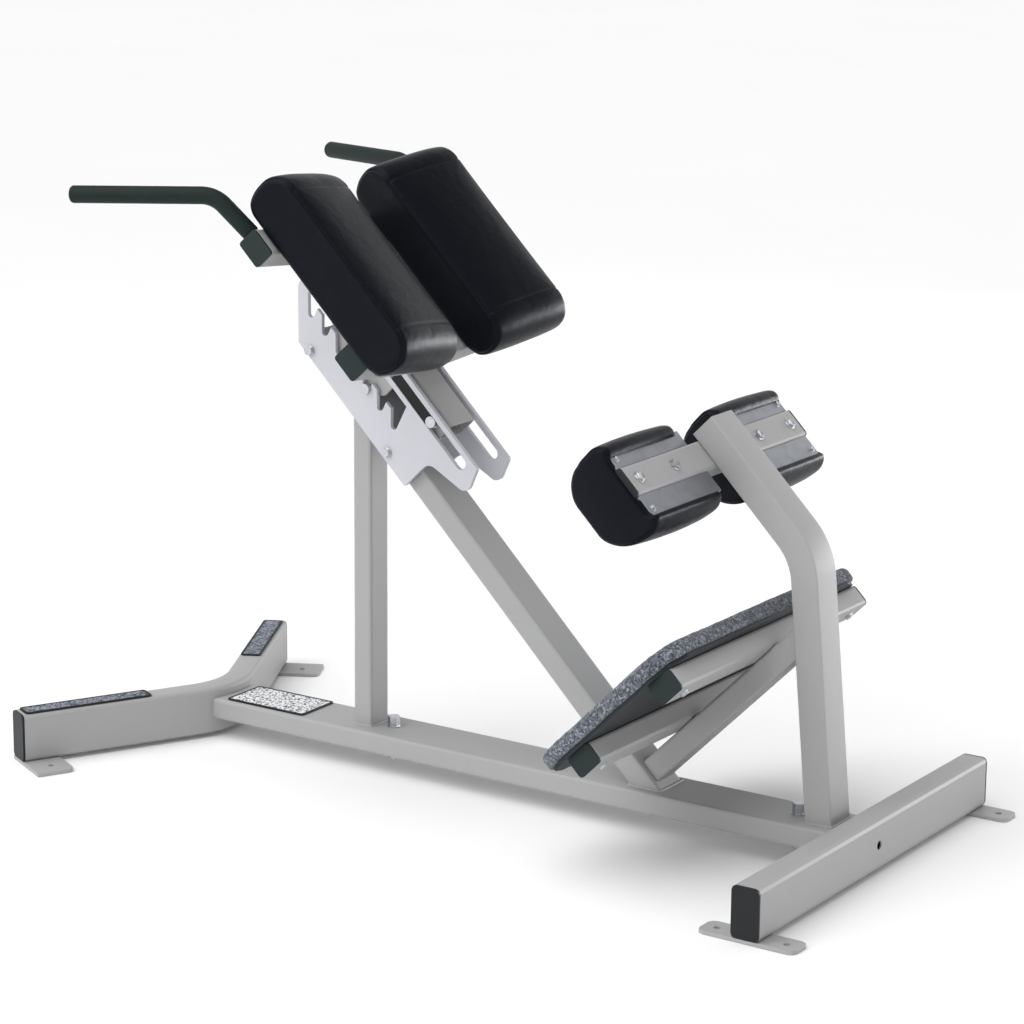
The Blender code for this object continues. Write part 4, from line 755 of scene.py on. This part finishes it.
class BENCH_OT_grit_strips(bpy.types.Operator):
    """Makes the three anti-slip strips, grit in a rubber rim"""

    bl_idname = "bench.grit_strips"
    bl_label = "Anti-slip strips"
    bl_options = {"REGISTER", "UNDO"}

    def execute(self, context):
        rim = context.scene.bench_carpet.strip_rim
        corner, ledge, sunk = 0.0065, 0.0004, 0.0005
        # node, length, width, turn about Z and grit
        rows = [("rail_grip_strip", 0.179, 0.100, 0.0, "rail_grit")]
        for name, side in SIDES:
            rows.append((f"arm_grip_{name}", 0.250, 0.040, side * (math.pi / 2 + ARM_TURN), "arm_grit"))
        for node, long, wide, turn, grit in rows:
            low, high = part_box(node)
            thick = high.z - low.z
            piece = rounded_sheet(f"{node}_grit", long, wide, corner, 4)
            bpy.ops.mesh.extrude_region_move(TRANSFORM_OT_translate={"value": (0, 0, thick)})
            round_rim(piece, thick, 0.0009, 3)
            pick(piece, "faces", lambda face: face.normal.z > 0.99 and centre(face).z > thick - NEARLY)
            bpy.ops.mesh.inset(thickness=rim, depth=0)
            bpy.ops.mesh.inset(thickness=ledge, depth=-sunk)
            mesh = bmesh.from_edit_mesh(piece.data)
            for face in mesh.faces:
                face.material_index = 1 if face.select else 0
            bmesh.update_edit_mesh(piece.data)
            middle = (low + high) / 2
            settle(piece, Matrix.Translation((middle.x, middle.y, low.z)) @ Matrix.Rotation(turn, 4, "Z"))
            close_up(piece)
            # new materials set every face back to the first one
            kinds = [face.material_index for face in piece.data.polygons]
            dress(piece, "frame", "strip_rubber", node, extra=(grit,))
            for face, kind in zip(piece.data.polygons, kinds):
                face.material_index = kind
        return {"FINISHED"}


class BENCH_OT_small_bolts(bpy.types.Operator):
    """Sets the hex bolts of the leg pad bar and under the platform, and the brackets' screws"""

    bl_idname = "bench.small_bolts"
    bl_label = "Small bolts"
    bl_options = {"REGISTER", "UNDO"}

    def execute(self, context):
        metal = context.scene.bench_metal
        radius, height, washer = metal.bolt_radius, metal.bolt_height, 0.0014
        lifted = (0, 0, washer + height / 2)
        begin()
        bpy.ops.mesh.primitive_cylinder_add(vertices=6, radius=radius, depth=height, location=lifted)
        head = named("bolt_pattern")
        bpy.ops.object.mode_set(mode="EDIT")
        round_rim(head, height / 2, radius * 0.14, 2)
        pick(head, "faces", lambda face: face.normal.z > 0.99)
        bpy.ops.mesh.inset(thickness=radius * 0.12, depth=-0.0003)
        begin()
        lifted = (0, 0, washer / 2)
        bpy.ops.mesh.primitive_cylinder_add(vertices=32, radius=radius * 1.2, depth=washer, location=lifted)
        disc = named("washer_pattern")
        bpy.ops.object.mode_set(mode="EDIT")
        round_rim(disc, washer / 2, 0.0004, 2)
        bpy.ops.object.mode_set(mode="OBJECT")
        head.select_set(True)
        bpy.context.view_layer.objects.active = head
        bpy.ops.object.join()
        bpy.ops.object.transform_apply(location=True, rotation=True, scale=True)
        close_up(head, 30)
        # name, slope, place on the slope, size beside the full one and turn in degrees
        bar_top, flange_top, tube_under = 0.4614, 0.4570, -0.0202
        down = PLATFORM @ Matrix.Rotation(math.pi, 4, "X")
        places = [
            (f"bar_bolt_{name}_{at}", INCLINE, (0.510, side * y, bar_top), 1.0, turn)
            for name, side in SIDES
            for at, y, turn in (("outer", 0.250, 12), ("inner", 0.140, 37))
        ]
        places += [
            (f"bracket_screw_{name}_{at}", INCLINE, (x, side * 0.266, flange_top), 0.55, 20)
            for name, side in SIDES
            for at, x in (("upper", 0.4645), ("lower", 0.5655))
        ]
        # the platform's bolts hang upside down, so Y and Z count the other way
        places += [
            (f"platform_bolt_{name}_{at}", down, (x, -side * 0.282, -tube_under), 0.8, 5)
            for name, side in SIDES
            for at, x in (("upper", 0.0), ("lower", -0.216))
        ]
        for name, slope, spot, size, turn in places:
            bolt = twin(head, name)
            only(bolt)
            spin = Matrix.Rotation(math.radians(turn), 4, "Z") @ Matrix.Scale(size, 4)
            settle(bolt, slope @ Matrix.Translation(spot) @ spin)
            dress(bolt, "frame", "chrome")
        bpy.data.objects.remove(head)
        return {"FINISHED"}


# Cushions


def box_of_cells(name, half, shape, seam):
    """A closed box of cells; shape() places each corner from its -1 to 1 place, seam() says how tight."""
    counts = [round(2 * size / bpy.context.scene.bench_cushions.cell) for size in half]
    corners, keys, faces = [], {}, []

    def corner(key):
        if key not in keys:
            keys[key] = len(corners)
            corners.append(tuple(2 * at / count - 1 for at, count in zip(key, counts)))
        return keys[key]

    for axis in range(3):
        first, second = (axis + 1) % 3, (axis + 2) % 3
        for level in (0, counts[axis]):
            for i in range(counts[first]):
                for j in range(counts[second]):
                    ring = []
                    for step_i, step_j in ((0, 0), (1, 0), (1, 1), (0, 1)):
                        key = [0, 0, 0]
                        key[axis], key[first], key[second] = level, i + step_i, j + step_j
                        ring.append(corner(tuple(key)))
                    faces.append(ring if level else ring[::-1])
    mesh = bpy.data.meshes.new(name)
    mesh.from_pydata([shape(*at) for at in corners], [], faces)
    piece = bpy.data.objects.new(name, mesh)
    bpy.context.scene.collection.objects.link(piece)
    tight = piece.vertex_groups.new(name="seam")
    held = piece.vertex_groups.new(name="held")
    for at, place in enumerate(corners):
        groove, grip = seam(*place)
        if groove:
            tight.add([at], groove, "REPLACE")
        if grip:
            held.add([at], grip, "REPLACE")
    return piece


def rounded_box(x, y, z, half, radii, edge):
    """Place of a box's corner point when its outline in X and Z and its edges to the side panels are round.

    radii(x, z) gives the outline's radii at a corner, along X and along Z."""
    reach, wide, tall = half
    along, up, across = x * reach, z * tall, y * wide
    depth = min(reach - abs(along), tall - abs(up))
    inset = depth
    if depth < 1e-7 and wide - abs(across) < edge:
        turn = math.radians(45) * (1 - (wide - abs(across)) / edge)
    elif abs(y) > PANEL and depth < edge:
        turn = math.radians(90) - math.radians(45) * (1 - depth / edge)
    else:
        turn = None
    if turn is not None:
        inset = edge * (1 - math.cos(turn))
        across = math.copysign(wide - edge + edge * math.sin(turn), across)
        along *= (reach - inset) / (reach - depth)
        up *= (tall - inset) / (tall - depth)
    reach, tall = reach - inset, tall - inset
    round_x, round_z = (max(value - inset, 0) for value in radii(x, z))
    if round_x > 0 and round_z > 0:
        a = (abs(along) - reach + round_x) / round_x
        b = (abs(up) - tall + round_z) / round_z
        if a > 0 and b > 0:
            along = math.copysign(reach - round_x + round_x * a * math.sqrt(1 - b * b / 2), along)
            up = math.copysign(tall - round_z + round_z * b * math.sqrt(1 - a * a / 2), up)
    return Vector((along, across, up))


def fill_with_foam(piece, swell):
    """Blows the cover up from inside, lets no point move further than swell, and refines it once."""
    only(piece)
    frames = 20
    rest = [vert.co.copy() for vert in piece.data.vertices]
    cloth = piece.modifiers.new("cover", "CLOTH")
    cloth.settings.quality = 5
    cloth.settings.mass = 0.3
    cloth.settings.use_pressure = True
    cloth.settings.uniform_pressure_force = 4
    cloth.settings.effector_weights.gravity = 0
    cloth.settings.vertex_group_mass = "held"
    cloth.point_cache.frame_start = 1
    cloth.point_cache.frame_end = frames
    for step in range(1, frames + 1):
        bpy.context.scene.frame_set(step)
    bpy.ops.object.modifier_apply(modifier="cover")
    bpy.context.scene.frame_set(1)
    for vert, was in zip(piece.data.vertices, rest):
        moved = vert.co - was
        if moved.length > 1e-9:
            vert.co = was + moved.normalized() * swell * math.tanh(moved.length / swell)
    refine = piece.modifiers.new("refine", "SUBSURF")
    refine.levels = refine.render_levels = 1
    bpy.ops.object.modifier_apply(modifier="refine")


def draw_seams(piece, depth):
    """Pulls the seams into the foam along the cover's normals."""
    group = piece.vertex_groups["seam"].index
    pulls = []
    for vert in piece.data.vertices:
        weight = sum(entry.weight for entry in vert.groups if entry.group == group)
        pulls.append(vert.normal * depth * weight**1.5)
    for vert, pull in zip(piece.data.vertices, pulls):
        vert.co -= pull
    piece.vertex_groups.clear()


def sewn_pair(name, half, shape, seam):
    """One sewn and filled cushion for each side, with the side's name and sign; the far one is a copy."""
    sizes = bpy.context.scene.bench_cushions
    near = box_of_cells(f"{name}_near", half, shape, seam)
    fill_with_foam(near, sizes.swell)
    draw_seams(near, sizes.seam_depth)
    return [(*side, piece) for side, piece in zip(SIDES, (near, twin(near, f"{name}_far")))]


def sink(piece, name, low, high, place):
    """Cuts a box-shaped seat into a cushion."""
    begin()
    bpy.ops.mesh.primitive_cube_add(size=1)
    block = named(name)
    low, high = Vector(low), Vector(high)
    settle(block, place @ Matrix.Translation((low + high) / 2) @ Matrix.Diagonal((*(high - low), 1)))
    only(piece)
    cut = piece.modifiers.new(name, "BOOLEAN")
    cut.object = block
    cut.solver = "EXACT"
    bpy.ops.object.modifier_apply(modifier=name)
    bpy.data.objects.remove(block)


class BENCH_OT_thigh_pads(bpy.types.Operator):
    """Sews and fills the two thigh pads"""

    bl_idname = "bench.thigh_pads"
    bl_label = "Thigh pads"
    bl_options = {"REGISTER", "UNDO"}

    def execute(self, context):
        sizes = context.scene.bench_cushions
        half = (0.2045, 0.100, 0.0412)
        cross = 1 - sizes.thigh_cross_seam / half[0]
        # a little over half a cell, so that one row of corners is always near enough to the cross seam
        near_cross = 1.005 / round(2 * half[0] / sizes.cell)
        end_bulge, side_draw, pulled_down, board_edge, fades_over = 0.003, 0.004, 0.0118, 0.017, 0.006

        def radii(x, z):
            """Outline radii: round ends, tighter under the upper end."""
            if z > 0:
                return 0.047, 0.0405
            return (0.052, 0.0405) if x > 0 else (0.036, 0.036)

        def shape(x, y, z):
            place = rounded_box(x, y, z, half, radii, sizes.thigh_edge)
            full = 1 - abs(place.y / half[1]) ** 3
            place.z += sizes.thigh_crown * full * max(0.0, place.z / half[2])
            place.x += math.copysign(end_bulge, x) * full * abs(x) ** 8
            if abs(y) > PANEL:
                place.y -= math.copysign(side_draw, y) * (1 - x**4) * (1 - z * z)
            if z < 0:
                # the cover is pulled down over the board's edge
                margin = min(half[0] * (1 - abs(x)), half[1] * (1 - abs(y)))
                place.z += pulled_down * z * min(max((board_edge - margin) / fades_over, 0), 1)
            return place

        def seam(x, y, z):
            side, under = abs(y) > PANEL, z < -PANEL
            if side and not under and max(abs(x), abs(z)) > PANEL:
                return 1.0, 1.0
            if z > PANEL and abs(abs(x) - cross) < near_cross:
                return 0.75, 0.7
            if under:
                return 0.0, 1.0
            return 0.0, 0.75 if side else 0.0

        for name, side, piece in sewn_pair("thigh_cushion", half, shape, seam):
            only(piece)
            # the pads lean towards each other by 9 degrees
            tilt = Matrix.Rotation(math.radians(side * 9), 4, "X")
            mirror = Matrix.Scale(side, 4, (0, 1, 0))
            middle = Matrix.Translation((-0.2505, side * 0.151, 0.0538))
            hinge = Matrix.Translation((0.128, side * 0.020, 0.1216))
            settle(piece, INCLINE @ hinge @ tilt @ middle @ mirror)
            close_up(piece, 180)
            dress(piece, "carriage", "pad_vinyl", f"thigh_pad_{name}")
        return {"FINISHED"}


class BENCH_OT_leg_pads(bpy.types.Operator):
    """Sews and fills the two leg pads round their brackets"""

    bl_idname = "bench.leg_pads"
    bl_label = "Leg pads"
    bl_options = {"REGISTER", "UNDO"}

    def execute(self, context):
        edge = context.scene.bench_cushions.leg_edge
        half = (0.0845, 0.108, 0.053)
        roll_height, roll_end, roll_out, end_bulge = 0.011, 0.085, 0.002, 0.006
        # seats of the bracket's flanges, of the way in to them and of the bar: extents down the slope,
        # outwards from the middle and out of the slope
        seats = (
            ("flange_seat", (0.4510, 0.5790), (0.0585, 0.2795), (0.4462, 0.4578)),
            ("open_seat", (0.4595, 0.5790), (0.0585, 0.2795), (0.4570, 0.52)),
            ("bar_seat", (0.4760, 0.5440), (0, 0.2827), (0.4144, 0.52)),
        )

        def radii(x, z):
            """Outline radii: a full round front and a tighter back."""
            return (0.016, 0.020) if z > 0 else (0.052, 0.050)

        def shape(x, y, z):
            place = rounded_box(x, y, z, half, radii, edge)
            # narrower to the front, most on the lower side, and fuller in the middle
            front = 0.5 - place.z / half[2] / 2
            full = 1 - (place.y / half[1]) ** 2
            place.x *= 1 - (0.24 if place.x > 0 else 0.08) * front**2
            place.x *= 1 + 0.05 * full
            if place.z < 0:
                place.z *= 1 + 0.02 * full
            else:
                # the wrap stands up in a roll beside the bracket
                start = 0.061 if place.x > 0 else 0.051
                roll = min(max((abs(place.x) - start) / (roll_end - start), 0), 1)
                rise = roll_height * math.sin(math.pi * roll**0.7) * (0.75 + 0.25 * full)
                place.z += rise * place.z / half[2]
                place.x += math.copysign(roll_out, place.x) * roll
            if abs(y) > PANEL:
                place.y += math.copysign(end_bulge, y) * (1 - x * x) * (1 - z * z)
            return place

        def seam(x, y, z):
            side = abs(y) > PANEL
            if side and max(abs(x), abs(z)) > PANEL:
                return 1.0, 1.0
            if z > PANEL:
                return 0.0, 1.0
            return 0.0, 0.5 if side else 0.0

        for name, side, piece in sewn_pair("leg_cushion", half, shape, seam):
            only(piece)
            mirror = Matrix.Scale(side, 4, (0, 1, 0))
            settle(piece, INCLINE @ Matrix.Translation((0.5135, side * 0.178, 0.402)) @ mirror)
            close_up(piece, 180)
            for seat, down, out, up in seats:
                low, high = zip(down, sorted(side * end for end in out), up)
                sink(piece, f"{seat}_{name}", low, high, INCLINE)
            only(piece)
            bpy.ops.object.shade_smooth_by_angle(angle=math.radians(50))
            dress(piece, "frame", "pad_vinyl", f"leg_pad_{name}")
        return {"FINISHED"}


class BENCH_OT_stage(bpy.types.Operator):
    """Lays the pale floor, hangs the soft lights and sets the camera"""

    bl_idname = "bench.stage"
    bl_label = "Studio"
    bl_options = {"REGISTER", "UNDO"}

    def execute(self, context):
        scene = context.scene
        begin()
        bpy.ops.mesh.primitive_plane_add(size=60, location=(0, 0, -0.0004))
        floor = named("studio_floor")
        bpy.ops.object.transform_apply(location=True, rotation=True, scale=True)
        floor.data.materials.append(made("studio_paper_white", studio_paper))

        world = bpy.data.worlds.new("studio_air")
        scene.world = world
        world.use_nodes = True
        world.node_tree.nodes.clear()
        add = partial(add_node, world.node_tree)
        # a white room: brightest at eye height all round, darker overhead
        split = add("ShaderNodeSeparateXYZ", {"Vector": add("ShaderNodeTexCoord").outputs["Generated"]})
        span = {"From Min": 0.3, "From Max": 0.7, "To Min": 0.95, "To Max": 0.3}
        height = {"Value": split.outputs["Z"], **span}
        height = add("ShaderNodeMapRange", height, interpolation_type="SMOOTHSTEP")
        air = add("ShaderNodeBackground", {"Color": linear("FDFDFF"), "Strength": height})
        add("ShaderNodeOutputWorld", {"Surface": air})

        # name, place, size in metres and power in watts
        lamps = (
            ("key_softbox", (-2.4, -4.2, 3.6), (2.8, 2.8), 75),
            ("back_strip", (2.4, 4.2, 0.5), (5.5, 0.8), 240),
            ("back_softbox", (0.1, 4.9, 1.9), (2.6, 1.6), 12),
        )
        for name, spot, size, power in lamps:
            light = bpy.data.lights.new(name, "AREA")
            light.shape = "RECTANGLE"
            light.size, light.size_y = size
            light.energy = power
            lamp = bpy.data.objects.new(name, light)
            scene.collection.objects.link(lamp)
            aim = Vector((0.1, 0, 0.5)) - Vector(spot)
            lamp.matrix_world = Matrix.Translation(spot) @ aim.to_track_quat("-Z", "Y").to_matrix().to_4x4()
            lamp.visible_camera = False
            # the strip only draws the long reflections on the vinyl, and lights nothing
            lamp.visible_diffuse = name != "back_strip"
        sun = bpy.data.lights.new("ceiling_bounce", "SUN")
        sun.energy = 1.75
        sun.angle = math.radians(60)
        lamp = bpy.data.objects.new("ceiling_bounce", sun)
        scene.collection.objects.link(lamp)
        lamp.rotation_euler = (math.radians(14), math.radians(-12), 0)

        # the camera fitted to the photograph: its turn round the bench, its dip and its roll, in radians
        around, above, roll = 0.5885, 0.2419, 0.0084
        ahead = Vector(
            (-math.sin(around) * math.cos(above), math.cos(around) * math.cos(above), -math.sin(above))
        )
        level = Vector((math.cos(around), math.sin(around), 0))
        upright = level.cross(ahead)
        right = level * math.cos(roll) + upright * math.sin(roll)
        up = -level * math.sin(roll) + upright * math.cos(roll)
        view = bpy.data.cameras.new("studio_camera")
        view.sensor_width = 36
        view.lens = 113.756
        view.clip_end = 80
        camera = bpy.data.objects.new("studio_camera", view)
        scene.collection.objects.link(camera)
        place = Matrix((right, up, -ahead)).transposed().to_4x4()
        place.translation = (3.1041336, -4.61596, 1.88849)
        camera.matrix_world = place
        scene.camera = camera
        scene.view_settings.view_transform = "Standard"
        return {"FINISHED"}


GROUPS = (
    ("bench_finishes", BenchFinishes),
    ("bench_cushions", BenchCushions),
    ("bench_metal", BenchMetal),
    ("bench_carpet", BenchCarpet),
)
STEPS = (
    BENCH_OT_stage,
    BENCH_OT_finishes,
    BENCH_OT_base_tube,
    BENCH_OT_rear_post,
    BENCH_OT_welds,
    BENCH_OT_hand_grips,
    BENCH_OT_foot_tread,
    BENCH_OT_grit_strips,
    BENCH_OT_small_bolts,
    BENCH_OT_thigh_pads,
    BENCH_OT_leg_pads,
)


class BENCH_PT_panel(bpy.types.Panel):
    """Sizes, colours and steps of the bench"""

    bl_idname = "BENCH_PT_panel"
    bl_label = "Hyperextension bench"
    bl_space_type = "VIEW_3D"
    bl_region_type = "UI"
    bl_category = "Bench"

    def draw(self, context):
        for name, kind in GROUPS:
            box = self.layout.box()
            for setting in kind.__annotations__:
                box.prop(getattr(context.scene, name), setting)
        for step in STEPS:
            self.layout.operator(step.bl_idname)


def register():
    for name, group in GROUPS:
        bpy.utils.register_class(group)
        setattr(bpy.types.Scene, name, bpy.props.PointerProperty(type=group))
    for step in (*STEPS, BENCH_PT_panel):
        bpy.utils.register_class(step)


def unregister():
    for step in (BENCH_PT_panel, *reversed(STEPS)):
        bpy.utils.unregister_class(step)
    for name, group in reversed(GROUPS):
        delattr(bpy.types.Scene, name)
        bpy.utils.unregister_class(group)


def main():
    register()
    for step in STEPS:
        group, name = step.bl_idname.split(".")
        getattr(getattr(bpy.ops, group), name)()
    bpy.context.view_layer.update()


if __name__ == "__main__":
    main()
